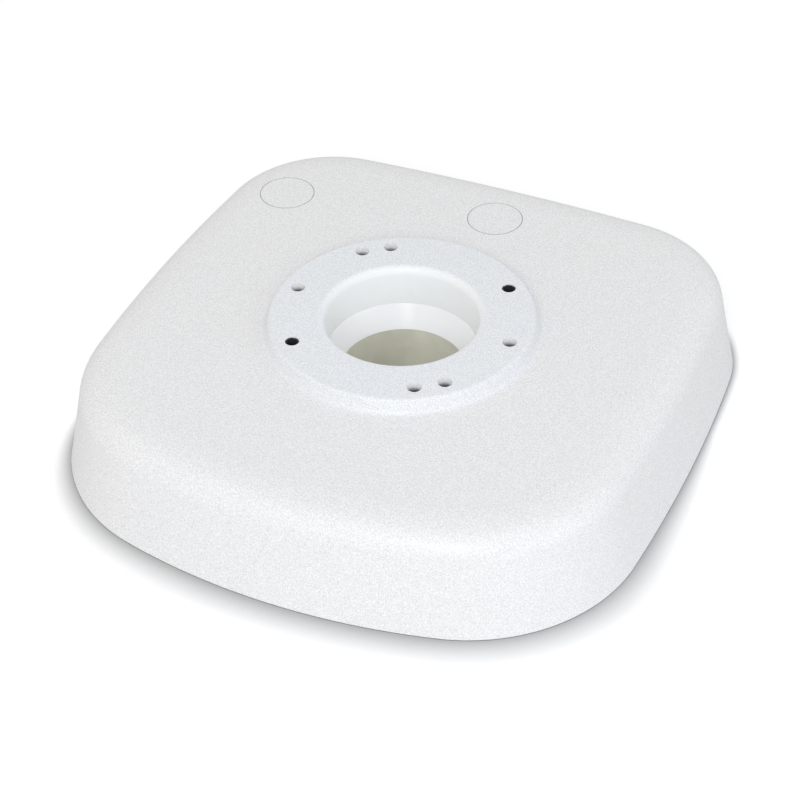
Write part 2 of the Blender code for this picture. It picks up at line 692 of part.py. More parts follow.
def make_bearing():
    """Returns the pieces that turn with the turntable and the ball cage."""
    inner = ring_profile(HUB_RADIUS + GAP, INNER_RACE_RADIUS, BEARING_LOW_Z, BEARING_TOP_Z)
    turned("bearing_inner_race", inner, STAINLESS)
    retainer = ring_profile(
        HUB_RADIUS + GAP, INNER_RACE_RADIUS + MM, BEARING_TOP_Z + GAP, RETAINER_TOP_Z
    )
    turned("bearing_retainer", retainer, BRIGHT_ALUMINIUM)
    outer = ring_profile(OUTER_RACE_BORE, OUTER_RACE_RADIUS, BEARING_LOW_Z, BEARING_TOP_Z)
    outer_race = turned("bearing_outer_race", outer, STAINLESS)
    ball_circle = (INNER_RACE_RADIUS + OUTER_RACE_BORE) / 2
    ball_z = (BEARING_LOW_Z + BEARING_TOP_Z) / 2
    rail = ring_profile(
        ball_circle - CAGE_HALF_WIDTH, ball_circle + CAGE_HALF_WIDTH,
        ball_z - CAGE_HALF_HEIGHT, ball_z + CAGE_HALF_HEIGHT,
    )
    cage = turned("bearing_ball_cage", rail, BRASS)
    bm = bmesh.new()
    for i in range(BALL_COUNT):
        x, y = polar(ball_circle, 360.0 * (i + 0.5) / BALL_COUNT)
        place = Matrix.Translation((x, y, ball_z))
        bmesh.ops.create_uvsphere(bm, u_segments=8, v_segments=5, radius=BALL_RADIUS, matrix=place)
    combine(cage, "UNION", add_cutter("bearing_balls", finish_mesh("bearing_balls", bm)))
    return outer_race, cage


# ---------------------------------------------------------------- turntable and array


def sector(inner, outer, low_degrees, high_degrees, steps):
    """Outline of a ring sector, anticlockwise."""
    spread = [low_degrees + (high_degrees - low_degrees) * i / steps for i in range(steps + 1)]
    return [polar(outer, angle) for angle in spread] + [
        polar(inner, angle) for angle in reversed(spread)
    ]


def pulley_profile(bore, radius):
    """A belt pulley's section, with a thin flange above and below the belt."""
    flange_radius = radius + PULLEY_FLANGE_REACH
    upper_z = PULLEY_TOP_Z - PULLEY_FLANGE_THICKNESS
    lower_z = PULLEY_LOW_Z + PULLEY_FLANGE_THICKNESS
    return [
        (bore, PULLEY_TOP_Z), (flange_radius, PULLEY_TOP_Z), (flange_radius, upper_z), (radius, upper_z),
        (radius, lower_z), (flange_radius, lower_z), (flange_radius, PULLEY_LOW_Z), (bore, PULLEY_LOW_Z),
    ]


def make_turntable():
    bore = OUTER_RACE_RADIUS + GAP
    profile = [
        (bore, BEARING_TOP_Z), (TURNTABLE_RADIUS, BEARING_TOP_Z), (TURNTABLE_RADIUS, TURNTABLE_LOW_Z),
        (SKIRT_RADIUS, TURNTABLE_LOW_Z), (SKIRT_RADIUS, SLIP_RING_LOW_Z), (bore, SLIP_RING_LOW_Z),
    ]
    table = turned("turntable", profile, CAST_ALUMINIUM)
    pulley = turned("turntable_pulley", pulley_profile(SKIRT_RADIUS + GAP, PULLEY_RADIUS), BLACK_PLASTIC)
    slip = ring_profile(SLIP_RING_BORE, OUTER_RACE_RADIUS, SLIP_RING_LOW_Z, SLIP_RING_TOP_Z)
    slip_ring = turned("slip_ring", slip, BRASS)
    footprint = sector(*COUNTERWEIGHT_RADII, *COUNTERWEIGHT_ANGLES, 14)
    mesh = prism("counterweight", footprint, BEARING_TOP_Z + GAP, COUNTERWEIGHT_TOP_Z)
    weight = add_piece("counterweight", mesh, LEAD_GREY)
    top_z = TURNTABLE_LOW_Z - GAP
    low_z = top_z - MAGNET_DEPTH
    disc = [(0.0, top_z), (MAGNET_RADIUS, top_z), (MAGNET_RADIUS, low_z), (0.0, low_z)]
    magnet = turned("home_magnet", disc, STAINLESS, *polar(HOME_RADIUS, HOME_ANGLE), SMALL_STEPS)
    return [table, pulley, slip_ring, weight, magnet]


def make_array():
    """The flat slotted array, its radio module and the two brackets that hold them."""
    half = ARRAY_HALF_LENGTH
    tray = block(
        "reflector_tray", (-half, TRAY_FRONT_Y, ARRAY_LOW_Z), (half, TRAY_BACK_Y, ARRAY_TOP_Z),
        BRIGHT_ALUMINIUM,
    )
    hollow = boxes_mesh("tray_hollow", [(
        (-half + TRAY_WALL, TRAY_FRONT_Y - MM, ARRAY_LOW_Z + TRAY_WALL),
        (half - TRAY_WALL, TRAY_BACK_Y - TRAY_WALL, ARRAY_TOP_Z - TRAY_WALL),
    )])
    combine(tray, "DIFFERENCE", add_cutter("tray_hollow", hollow))
    margin = TRAY_WALL + GAP
    board_y = TRAY_FRONT_Y + PATCH_BOARD_SINK
    board = block(
        "patch_board",
        (-half + margin, board_y, ARRAY_LOW_Z + margin),
        (half - margin, board_y + PATCH_BOARD_THICKNESS, ARRAY_TOP_Z - margin),
        BOARD_CREAM,
    )
    module = block(
        "rf_module",
        (-MODULE_HALF_LENGTH, TRAY_BACK_Y + GAP, MODULE_LOW_Z),
        (MODULE_HALF_LENGTH, MODULE_BACK_Y, MODULE_TOP_Z),
        CAST_ALUMINIUM, 0.8 * MM,
    )
    lid_half = MODULE_HALF_LENGTH - LID_MARGIN
    lid = block(
        "rf_module_lid",
        (-lid_half, MODULE_BACK_Y + GAP, MODULE_LOW_Z + LID_MARGIN),
        (lid_half, LID_BACK_Y, MODULE_TOP_Z - LID_MARGIN),
        BRIGHT_ALUMINIUM,
    )
    brackets = []
    for name, side in (("array_bracket_left", -1), ("array_bracket_right", 1)):
        near, far = sorted((side * BRACKET_NEAR_X, side * BRACKET_FAR_X))
        foot_z = BEARING_TOP_Z + GAP
        upright_y = TRAY_BACK_Y + GAP
        foot = ((near, upright_y, foot_z), (far, BRACKET_FOOT_Y, foot_z + BRACKET_THICKNESS))
        upright = boxes_mesh(name + "_upright", [(
            (near, upright_y, foot_z), (far, upright_y + BRACKET_THICKNESS, BRACKET_TOP_Z),
        )])
        bracket = block(name, *foot, BRIGHT_ALUMINIUM)
        combine(bracket, "UNION", add_cutter(name + "_upright", upright))
        brackets.append(bracket)
    return [tray, board, module, lid, *brackets]


# ---------------------------------------------------------------- belt drive


def belt_path(extra):
    """Points round both pulleys, at extra outside their working radius, anticlockwise."""
    span = Vector(MOTOR_PLACE)
    lean = math.degrees(math.acos((PULLEY_RADIUS - MOTOR_PULLEY_RADIUS) / span.length))
    heading = math.degrees(math.atan2(span.y, span.x))
    motor_steps, table_steps = 8, 20
    points = []
    for i in range(motor_steps + 1):
        angle = heading - lean + 2 * lean * i / motor_steps
        points.append(span + Vector(polar(MOTOR_PULLEY_RADIUS + extra, angle)))
    for i in range(table_steps + 1):
        angle = heading + lean + (360.0 - 2 * lean) * i / table_steps
        points.append(Vector(polar(PULLEY_RADIUS + extra, angle)))
    return points


def make_motor_bracket():
    """The bracket holds the motor over its pulley, on one leg on the side away from the hub."""
    x, y = MOTOR_PLACE
    half = MOUNT_HALF_WIDTH
    plate_top_z = MOTOR_LOW_Z - GAP
    plate_low_z = plate_top_z - MOUNT_THICKNESS
    foot_low_z = PLATE_TOP_Z + GAP
    leg_x = half - MOUNT_THICKNESS
    bracket = block(
        "motor_bracket", (-half, -half, plate_low_z), (half, half, plate_top_z), BRIGHT_ALUMINIUM
    )
    bracket.location = (x, y, 0.0)
    bracket.rotation_euler.z = math.atan2(y, x)
    leg = ((leg_x, -half, foot_low_z), (half, half, plate_low_z + MM))
    foot = ((leg_x, -half, foot_low_z), (half + MOUNT_FOOT_REACH, half, foot_low_z + MOUNT_THICKNESS))
    hole = rods_mesh("bracket_hole", [(0.0, 0.0, MOUNT_HOLE_RADIUS)], plate_low_z - MM, MOTOR_LOW_Z, 16)
    for label, operation, mesh in (
        ("bracket_leg", "UNION", boxes_mesh("bracket_leg", [leg])),
        ("bracket_foot", "UNION", boxes_mesh("bracket_foot", [foot])),
        ("bracket_hole", "DIFFERENCE", hole),
    ):
        cutter = add_cutter(label, mesh)
        cutter.location = bracket.location
        cutter.rotation_euler = bracket.rotation_euler
        combine(bracket, operation, cutter)


def make_belt_drive():
    """Returns the two pieces that turn with the motor."""
    x, y = MOTOR_PLACE
    inner, outer = 2 * GAP, 2 * GAP + BELT_THICKNESS
    section = ((outer, BELT_LOW_Z), (outer, BELT_TOP_Z), (inner, BELT_TOP_Z), (inner, BELT_LOW_Z))
    rings = [[(*point, z) for point in belt_path(extra)] for extra, z in section]
    add_piece("drive_belt", skin("drive_belt", rings), BLACK_RUBBER)

    bore = SHAFT_RADIUS + GAP
    socket_z = MOTOR_LOW_Z + MOTOR_SOCKET_DEPTH
    turned("drive_motor", [
        (0.0, MOTOR_TOP_Z), (MOTOR_RADIUS - MOTOR_EDGE, MOTOR_TOP_Z),
        (MOTOR_RADIUS, MOTOR_TOP_Z - MOTOR_EDGE), (MOTOR_RADIUS, MOTOR_LOW_Z),
        (bore, MOTOR_LOW_Z), (bore, socket_z), (0.0, socket_z),
    ], BLACK_PLASTIC, x, y, 24)
    make_motor_bracket()

    profile = pulley_profile(bore, MOTOR_PULLEY_RADIUS)
    pulley = turned("motor_pulley", profile, BRIGHT_ALUMINIUM, x, y, 16)
    top_z, low_z = MOTOR_LOW_Z + SHAFT_REACH, PULLEY_LOW_Z - MM
    rod = [(0.0, top_z), (SHAFT_RADIUS, top_z), (SHAFT_RADIUS, low_z), (0.0, low_z)]
    shaft = turned("motor_shaft", rod, STAINLESS, x, y, SMALL_STEPS)
    return [pulley, shaft]


# ---------------------------------------------------------------- electronics


def board_posts(low, high):
    margin = BOARD_POST_MARGIN
    return [(x, y) for x in (low[0] + margin, high[0] - margin) for y in (low[1] + margin, high[1] - margin)]


def on_board(board, place):
    """A place on a board, counted from its low corner."""
    return board[0][0] + place[0], board[0][1] + place[1]


def board_block(name, board, place, size, finish, bevel=0.0):
    x, y = on_board(board, place)
    low_z = BOARD_TOP_Z + GAP
    return block(name, (x, y, low_z), (x + size[0], y + size[1], low_z + size[2]), finish, bevel)


def make_heat_sink():
    sink = board_block("heat_sink", POWER_BOARD, HEAT_SINK_PLACE, HEAT_SINK_SIZE, BLACK_PLASTIC)
    x, y = on_board(POWER_BOARD, HEAT_SINK_PLACE)
    low_z = BOARD_TOP_Z + GAP + HEAT_SINK_BASE
    slots = []
    for i in range(FIN_SLOTS):
        slot_x = x + FIRST_FIN_WIDTH + i * FIN_PITCH
        slots.append((
            (slot_x, y - MM, low_z),
            (slot_x + FIN_SLOT_WIDTH, y + HEAT_SINK_SIZE[1] + MM, low_z + HEAT_SINK_SIZE[2]),
        ))
    combine(sink, "DIFFERENCE", add_cutter("fin_slots", boxes_mesh("fin_slots", slots)))


def make_boards():
    for name, board in (("control_board", CONTROL_BOARD), ("power_board", POWER_BOARD)):
        low, high = board
        block(name, (*low, BOARD_LOW_Z), (*high, BOARD_TOP_Z), GREEN_BOARD)
    board_block("processor_shield", CONTROL_BOARD, SHIELD_PLACE, SHIELD_SIZE, BRIGHT_ALUMINIUM, 0.6 * MM)
    make_heat_sink()
    low_z = BOARD_TOP_Z + GAP
    top_z = low_z + CAPACITOR_HEIGHT
    can = [(0.0, top_z), (CAPACITOR_RADIUS, top_z), (CAPACITOR_RADIUS, low_z), (0.0, low_z)]
    for name, place in CAPACITOR_PLACES.items():
        turned(name, can, GREY_PLASTIC, *on_board(POWER_BOARD, place), 14)
    middle_z = low_z + INDUCTOR_WINDING_RADIUS + MM / 2
    sides = 6
    winding = []
    for i in range(sides):
        reach, rise = polar(INDUCTOR_WINDING_RADIUS, 90.0 - 360.0 * i / sides)
        winding.append((INDUCTOR_RADIUS + reach, middle_z + rise))
    turned("inductor", winding, COPPER, *on_board(POWER_BOARD, INDUCTOR_PLACE), 16)


def make_connectors():
    """The two sockets and the vent in the base plate."""
    flange_top = PLATE_LOW_Z - GAP
    socket = [
        (0.0, CONNECTOR_TOP_Z), (CONNECTOR_BACK_RADIUS, CONNECTOR_TOP_Z),
        (CONNECTOR_RADIUS, CONNECTOR_TOP_Z - CONNECTOR_RADIUS + CONNECTOR_BACK_RADIUS),
        (CONNECTOR_RADIUS, flange_top), (CONNECTOR_FLANGE_RADIUS, flange_top),
        (CONNECTOR_FLANGE_RADIUS, CONNECTOR_LOW_Z), (CONNECTOR_SOCKET_RADIUS, CONNECTOR_LOW_Z),
        (CONNECTOR_SOCKET_RADIUS, CONNECTOR_SOCKET_TOP_Z), (0.0, CONNECTOR_SOCKET_TOP_Z),
    ]
    for name, place in CONNECTOR_PLACES.items():
        turned(name, socket, BLACK_PLASTIC, *place, 16)
    vent = [
        (0.0, VENT_TOP_Z), (VENT_SHANK_RADIUS, VENT_TOP_Z), (VENT_SHANK_RADIUS, flange_top),
        (VENT_CAP_RADIUS, flange_top), (VENT_CAP_RADIUS, VENT_LOW_Z + VENT_EDGE),
        (VENT_CAP_RADIUS - VENT_EDGE, VENT_LOW_Z), (0.0, VENT_LOW_Z),
    ]
    turned("breather_vent", vent, BLACK_PLASTIC, *VENT_PLACE, 16)


def make_sensor_and_brushes():
    """The fixed pieces that the turning ones pass over."""
    x, y = polar(HOME_RADIUS, HOME_ANGLE)
    low_z = PLATE_TOP_Z + GAP
    block(
        "home_sensor", (x - SENSOR_HALF_X, y - SENSOR_HALF_Y, low_z),
        (x + SENSOR_HALF_X, y + SENSOR_HALF_Y, SENSOR_TOP_Z), BLACK_PLASTIC, 0.5 * MM,
    )
    footprint = sector(HUB_FLANGE_RADIUS + 2 * GAP, BRUSH_OUTER_RADIUS, *BRUSH_ANGLES, 6)
    add_piece("brush_block", prism("brush_block", footprint, low_z, SLIP_RING_LOW_Z - GAP), BLACK_PLASTIC)


def make_cable(name, points, radius):
    """A round cable through straight runs, as a closed mesh."""
    curve = bpy.data.curves.new(name, "CURVE")
    curve.dimensions = "3D"
    curve.bevel_depth = radius
    curve.bevel_resolution = 1
    curve.use_fill_caps = True
    spline = curve.splines.new("POLY")
    spline.points.add(len(points) - 1)
    for spot, point in zip(spline.points, points):
        spot.co = (*point, 1.0)
    guide = bpy.data.objects.new(name + "_guide", curve)
    CUTTERS.objects.link(guide)
    bpy.context.view_layer.update()
    mesh = bpy.data.meshes.new_from_object(guide.evaluated_get(bpy.context.evaluated_depsgraph_get()))
    bpy.data.objects.remove(guide, do_unlink=True)
    bm = bmesh.new()
    bm.from_mesh(mesh)
    bmesh.ops.remove_doubles(bm, verts=bm.verts, dist=0.01 * MM)
    bmesh.ops.recalc_face_normals(bm, faces=bm.faces)
    bm.to_mesh(mesh)
    bm.free()
    mesh.name = name
    mesh.materials.clear()
    add_piece(name, mesh, BLACK_PLASTIC)


def rounded_run(corners, radius, steps=3):
    """Puts a short arc-like bend at each inner corner of a run of points."""
    points = [Vector(corners[0])]
    for before, corner, after in zip(corners, corners[1:], corners[2:]):
        corner = Vector(corner)
        start = corner + (Vector(before) - corner).normalized() * radius
        finish = corner + (Vector(after) - corner).normalized() * radius
        for i in range(steps + 1):
            share = i / steps
            points.append(start.lerp(corner, share).lerp(corner.lerp(finish, share), share))
    points.append(Vector(corners[-1]))
    return points


def make_cables():
    """One cable joins the two boards round the front; the other runs round the back to the motor."""
    z = PLATE_TOP_Z + GAP + CABLE_RADIUS
    raised_z = z + CABLE_RISE
    control_x, control_y = on_board(CONTROL_BOARD, (60 * MM, -3 * MM))
    power_x, power_y = on_board(POWER_BOARD, (10 * MM, -3 * MM))
    make_cable("board_cable", rounded_run([
        (control_x, control_y, raised_z), (control_x, control_y - 8 * MM, z), (control_x, BOARD_CABLE_Y, z),
        (power_x, BOARD_CABLE_Y, z), (power_x, power_y - 6 * MM, z), (power_x, power_y, raised_z),
    ], 5 * MM), CABLE_RADIUS)
    motor_x, motor_y = MOTOR_PLACE
    top_x, top_y = on_board(CONTROL_BOARD, (60 * MM, 143 * MM))
    make_cable("motor_cable", rounded_run([
        (top_x, top_y, raised_z), (top_x, top_y + 10 * MM, z), (top_x, MOTOR_CABLE_Y, z),
        (motor_x - 34 * MM, motor_y + 38 * MM, z), (motor_x - 28 * MM, motor_y + 34 * MM, MOTOR_CABLE_TOP_Z),
        (motor_x - MOTOR_RADIUS - MM / 2, motor_y + 12 * MM, MOTOR_CABLE_TOP_Z),
    ], 6 * MM), CABLE_RADIUS)


# ---------------------------------------------------------------- assembly


def build():
    radome = make_radome()
    make_base_plate()
    make_base_gasket()
    make_base_fasteners()
    make_hub()
    outer_race, cage = make_bearing()
    turning = [outer_race, *make_turntable(), *make_array()]
    rotor = make_belt_drive()
    make_boards()
    make_connectors()
    make_sensor_and_brushes()
    make_cables()
    attach(radome, joint_empty("radome_lift_axis"))
    attach(turning, joint_empty("turntable_axis"))
    attach([cage], joint_empty("ball_cage_axis"))
    attach(rotor, joint_empty("motor_axis", *MOTOR_PLACE))


build()
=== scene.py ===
import json
import math
import random

import bmesh
import bpy
from mathutils import Matrix, Vector


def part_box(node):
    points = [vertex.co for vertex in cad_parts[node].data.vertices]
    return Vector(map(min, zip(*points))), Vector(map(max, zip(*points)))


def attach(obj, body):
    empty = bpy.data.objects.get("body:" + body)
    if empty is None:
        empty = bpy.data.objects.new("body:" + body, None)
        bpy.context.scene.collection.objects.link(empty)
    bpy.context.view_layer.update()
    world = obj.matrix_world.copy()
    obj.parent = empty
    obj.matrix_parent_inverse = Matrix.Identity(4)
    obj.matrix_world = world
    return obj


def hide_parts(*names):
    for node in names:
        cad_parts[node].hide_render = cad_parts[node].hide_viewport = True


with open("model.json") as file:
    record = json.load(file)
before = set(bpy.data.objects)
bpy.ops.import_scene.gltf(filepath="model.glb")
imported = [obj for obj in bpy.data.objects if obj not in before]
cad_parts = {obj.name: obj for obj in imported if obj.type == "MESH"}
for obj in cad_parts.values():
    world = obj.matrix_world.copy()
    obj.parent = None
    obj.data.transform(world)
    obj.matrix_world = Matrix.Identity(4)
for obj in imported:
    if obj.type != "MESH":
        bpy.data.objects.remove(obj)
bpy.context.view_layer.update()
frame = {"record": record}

MM = 0.001
ROUND = 128  # points round a large turned piece
SMALL_ROUND = 40
UP = (0.0, 0.0, 1.0)
DOWN = (0.0, 0.0, -1.0)
FRONTWARDS = (0.0, -1.0, 0.0)
BACKWARDS = (0.0, 1.0, 0.0)

# ---------------------------------------------------------------- sizes read from the frame


def low_high(node):
    low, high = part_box(node)
    return Vector(low), Vector(high)


def centre(node):
    low, high = low_high(node)
    return (low + high) / 2


def outer_radius(node):
    low, high = low_high(node)
    return (high.x - low.x) / 2


SHELL_HIGH = low_high("radome_shell")[1]
HALF_WIDTH = SHELL_HIGH.x
RING_TOP_Z = SHELL_HIGH.z
TOP_Z = low_high("blanking_plug_left")[1].z
FUNNEL_TOP_Z = low_high("hub_funnel")[1].z
HUB_TOP_Z = low_high("hub_tube")[1].z

# ---------------------------------------------------------------- section sizes

DRAFT = 11.8
SHOULDER_RADIUS = 21.5 * MM
CROWN_RADIUS = 90.0 * MM
CROWN_SWEEP = 11.5
SKIN = 4.0 * MM
RIM_ROUNDING = 1.0 * MM
WALL_FOOT_Z = 6.0 * MM
LEDGE_Z = 10.3 * MM
LEDGE_TOP_Z = LEDGE_Z + 3.0 * MM
LEDGE_INSET = 13.0 * MM
RECESS_INSET = 6.4 * MM
RING_FOOT_RADIUS = 107.0 * MM
RING_FOOT_ROUNDING = 4.5 * MM
RING_EDGE_ROUNDING = 3.0 * MM
RING_FLANK_ANGLE = 70.0
RING_STEPS = 8
LIP_OUTER_RADIUS = 63.3 * MM
BORE_TOP_RADIUS = 57.9 * MM
BORE_TOP_Z = 82.8 * MM
LIP_STEPS = 14
BORE_RADIUS = 57.4 * MM
COLLAR_Z = FUNNEL_TOP_Z + 0.05 * MM
COLLAR_RADIUS = 61.4 * MM
COLLAR_EDGE = 0.12 * MM
BOLT_CIRCLE_RADIUS = 86.5 * MM
RING_HOLE_RADIUS = 5.25 * MM
BLIND_HOLE_DEPTH = 9.0 * MM
BLIND_HOLE_ANGLES = (0, 120, 135, 180, 300, 315)
BUSHED_HOLE_ANGLES = (45, 225)
PLUG_GAP = 0.3 * MM
PLUG_STEPS = 96
GAP_SHADE_WIDTH = 0.6 * MM

# Painted light and shade in the ring's holes: their walls are painted white under the mouths and darken from
# there down as painted shade, because little light gets in.
HOLE_SHADE = (0.09, 0.09, 0.1)
HOLE_LIGHT_DEPTH = 3.8 * MM
HOLE_DARK_DEPTH = 8.2 * MM

# ---------------------------------------------------------------- materials

NOISE_TURN = (0.5, 0.7, 0.3)


class Look:
    """A node material: a Principled shader whose inputs are fed by procedural textures."""

    def __init__(self, name, colour, roughness, metallic=0.0, coat=0.0):
        self.material = bpy.data.materials.new(name)
        self.material.use_nodes = True
        self.tree = self.material.node_tree
        self.shader = self.tree.nodes["Principled BSDF"]
        self.set("Base Color", (*colour, 1.0))
        self.set("Roughness", roughness)
        self.set("Metallic", metallic)
        self.set("Coat Weight", coat)
        self.set("Coat Roughness", 0.15)
        self.material.diffuse_color = (*colour, 1.0)
        self.colour = colour
        self.last_normal = None

    def set(self, name, value):
        self.shader.inputs[name].default_value = value

    def node(self, kind, **values):
        made = self.tree.nodes.new(kind)
        for key, value in values.items():
            if key in made.inputs:
                made.inputs[key].default_value = value
            else:
                setattr(made, key, value)
        return made

    def link(self, source, target):
        self.tree.links.new(source, target)

    def place(self):
        return self.node("ShaderNodeTexCoord").outputs["Object"]

    def noise(self, scale, detail=3.0, stretch=None):
        """Noise in the piece's own space, turned so that no flat face lies along its lattice."""
        texture = self.node("ShaderNodeTexNoise", Scale=scale, Detail=detail)
        mapping = self.node("ShaderNodeMapping", Scale=stretch or (1.0, 1.0, 1.0), Rotation=NOISE_TURN)
        self.link(self.place(), mapping.inputs["Vector"])
        self.link(mapping.outputs["Vector"], texture.inputs["Vector"])
        return texture.outputs["Fac"]

    def maths(self, operation, first, second=None):
        """A math node; without a second source it compares with a half."""
        step = self.node("ShaderNodeMath", operation=operation)
        step.inputs[1].default_value = 0.5
        self.link(first, step.inputs[0])
        if second:
            self.link(second, step.inputs[1])
        return step.outputs["Value"]

    def distance_from_axis(self):
        """The distance from the hub's vertical axis, in metres."""
        flat = self.node("ShaderNodeVectorMath", operation="MULTIPLY")
        flat.inputs[1].default_value = (1.0, 1.0, 0.0)
        self.link(self.place(), flat.inputs[0])
        length = self.node("ShaderNodeVectorMath", operation="LENGTH")
        self.link(flat.outputs["Vector"], length.inputs[0])
        return length.outputs["Value"]

    def in_ring_holes(self, distance):
        """Where the ring's holes are, and a depth that grows from 0 near their mouths to 1."""
        place = self.node("ShaderNodeSeparateXYZ")
        self.link(self.place(), place.inputs["Vector"])
        height = place.outputs["Z"]
        depth = self.remap(height, 1.0, 0.0, RING_TOP_Z - HOLE_DARK_DEPTH, RING_TOP_Z - HOLE_LIGHT_DEPTH)
        facing = self.node("ShaderNodeSeparateXYZ")
        self.link(self.node("ShaderNodeNewGeometry").outputs["True Normal"], facing.inputs["Vector"])
        near, far = BOLT_CIRCLE_RADIUS - 1.2 * RING_HOLE_RADIUS, BOLT_CIRCLE_RADIUS + 1.2 * RING_HOLE_RADIUS
        inside = self.remap(height, 1.0, 0.0, RING_TOP_Z - 0.6 * MM, RING_TOP_Z - 0.3 * MM)
        for share in (
            self.remap(distance, 0.0, 1.0, near - 0.5 * MM, near),
            self.remap(distance, 1.0, 0.0, far, far + 0.5 * MM),
            self.remap(facing.outputs["Z"], 0.0, 1.0, -0.9, -0.5),
        ):
            inside = self.maths("MULTIPLY", inside, share)
        return inside, depth

    def mix(self, share, first, second):
        mix = self.node("ShaderNodeMix", data_type="RGBA")
        sockets = [socket for socket in mix.inputs if socket.type == "RGBA"]
        self.link(share, mix.inputs["Factor"])
        self.link(first, sockets[0])
        self.link(second, sockets[1])
        return next(socket for socket in mix.outputs if socket.type == "RGBA")

    def ramp(self, source, stops):
        ramp = self.node("ShaderNodeValToRGB")
        points = ramp.color_ramp.elements
        while len(points) < len(stops):
            points.new(0.5)
        for point, (position, colour) in zip(points, stops):
            point.position = position
            point.color = (*colour, 1.0)
        self.link(source, ramp.inputs["Fac"])
        return ramp.outputs["Color"]

    def remap(self, source, low, high, from_low=0.3, from_high=0.7):
        spread = self.node("ShaderNodeMapRange")
        limits = {"From Min": from_low, "From Max": from_high, "To Min": low, "To Max": high}
        for key, value in limits.items():
            spread.inputs[key].default_value = value
        self.link(source, spread.inputs["Value"])
        return spread.outputs["Result"]

    def vary_colour(self, source, darker, lighter):
        dark = tuple(channel * darker for channel in self.colour)
        light = tuple(min(1.0, channel * lighter) for channel in self.colour)
        self.link(self.ramp(source, ((0.3, dark), (0.7, light))), self.shader.inputs["Base Color"])

    def vary_roughness(self, source, low, high):
        self.link(self.remap(source, low, high), self.shader.inputs["Roughness"])

    def bump(self, source, distance, strength=1.0):
        bump = self.node("ShaderNodeBump", Strength=strength, Distance=distance)
        self.link(source, bump.inputs["Height"])
        if self.last_normal:
            self.link(self.last_normal, bump.inputs["Normal"])
        self.last_normal = bump.outputs["Normal"]
        self.link(self.last_normal, self.shader.inputs["Normal"])


def gelcoat_look():
    """Sprayed white gelcoat with an orange-peel grain. Painted light makes its colour brighter and more even
    in the bore, a painted cool light tints the raised ring blue, and the ring's holes get painted light near
    their mouths and painted shade deeper down.
    """
    look = Look("gelcoat", (0.86, 0.862, 0.866), 0.42, coat=0.12)
    grain = look.noise(1100.0, 2.0)
    distance = look.distance_from_axis()
    top = look.ramp(grain, ((0.34, (0.725, 0.725, 0.727)), (0.66, (0.958, 0.96, 0.963))))
    # Painted cool light: the raised ring's colour is tinted bluer than the top's, standing in for the colour
    # of the light on it.
    ring = look.ramp(grain, ((0.34, (0.705, 0.727, 0.75)), (0.66, (0.935, 0.96, 0.99))))
    # Painted light: the bore and its lip get a brighter, more even colour than the gelcoat, standing in for
    # light that the bore's walls do not get.
    painted_bore_light = look.ramp(grain, ((0.3, (0.95, 0.97, 0.98)), (0.7, (0.98, 1.0, 1.0))))
    ring_cool_light_mask = look.remap(distance, 1.0, 0.0, RING_FOOT_RADIUS - 9 * MM, RING_FOOT_RADIUS + 3 * MM)
    bore_light_mask = look.remap(distance, 1.0, 0.0, BORE_TOP_RADIUS, LIP_OUTER_RADIUS)
    surface = look.mix(bore_light_mask, look.mix(ring_cool_light_mask, top, ring), painted_bore_light)
    hole_light_and_shade_mask, depth = look.in_ring_holes(distance)
    # Painted light and shade: white just under the holes' mouths, running down to painted shade deeper in.
    hole = look.ramp(depth, ((0.0, (1.0, 1.0, 1.0)), (1.0, HOLE_SHADE)))
    look.link(look.mix(hole_light_and_shade_mask, surface, hole), look.shader.inputs["Base Color"])
    look.vary_roughness(look.noise(60.0), 0.38, 0.5)
    look.bump(grain, 0.0006, 0.3)
    look.bump(look.noise(160.0, 1.0), 0.0006, 0.1)
    return look.material


def gloss_white_look():
    look = Look("gloss_white", (0.95, 0.955, 0.96), 0.18, coat=0.4)
    look.vary_roughness(look.noise(40.0), 0.14, 0.24)
    look.vary_colour(look.noise(25.0), 0.985, 1.01)
    look.bump(look.noise(90.0, 1.0), 0.0005, 0.05)
    return look.material


def plastic_look(name, colour, roughness, grain=600.0):
    look = Look(name, colour, roughness)
    look.vary_colour(look.noise(30.0), 0.9, 1.1)
    look.vary_roughness(look.noise(90.0), roughness * 0.85, min(1.0, roughness * 1.2))
    look.bump(look.noise(grain, 2.0), 0.0002, 0.3)
    return look.material


def rubber_look():
    look = Look("rubber", (0.022, 0.022, 0.024), 0.7)
    look.vary_colour(look.noise(80.0), 0.7, 1.5)
    look.vary_roughness(look.noise(50.0), 0.6, 0.85)
    look.bump(look.noise(1500.0, 2.0), 0.0002, 0.4)
    return look.material


def cast_metal_look(name, colour, roughness=0.5):
    look = Look(name, colour, roughness, 1.0)
    look.vary_colour(look.noise(420.0, 6.0), 0.86, 1.08)
    look.vary_roughness(look.noise(30.0), roughness * 0.8, roughness * 1.25)
    look.bump(look.noise(900.0, 3.0), 0.0003, 0.5)
    return look.material


def turned_metal_look(name, colour, roughness=0.25):
    """Machined metal with fine circular tool marks, stretched flat across the turning axis."""
    look = Look(name, colour, roughness, 1.0)
    marks = look.noise(9.0, 4.0, (1.0, 1.0, 220.0))
    look.vary_colour(look.noise(35.0), 0.9, 1.08)
    look.vary_roughness(marks, roughness * 0.7, roughness * 1.5)
    look.bump(marks, 0.00008, 0.5)
    return look.material


def brushed_sheet_look(name, colour, roughness=0.3):
    look = Look(name, colour, roughness, 1.0)
    streaks = look.noise(12.0, 5.0, (1.0, 60.0, 60.0))
    look.vary_colour(look.noise(14.0), 0.92, 1.06)
    look.vary_roughness(streaks, roughness * 0.75, roughness * 1.5)
    look.bump(streaks, 0.00005, 0.5)
    return look.material


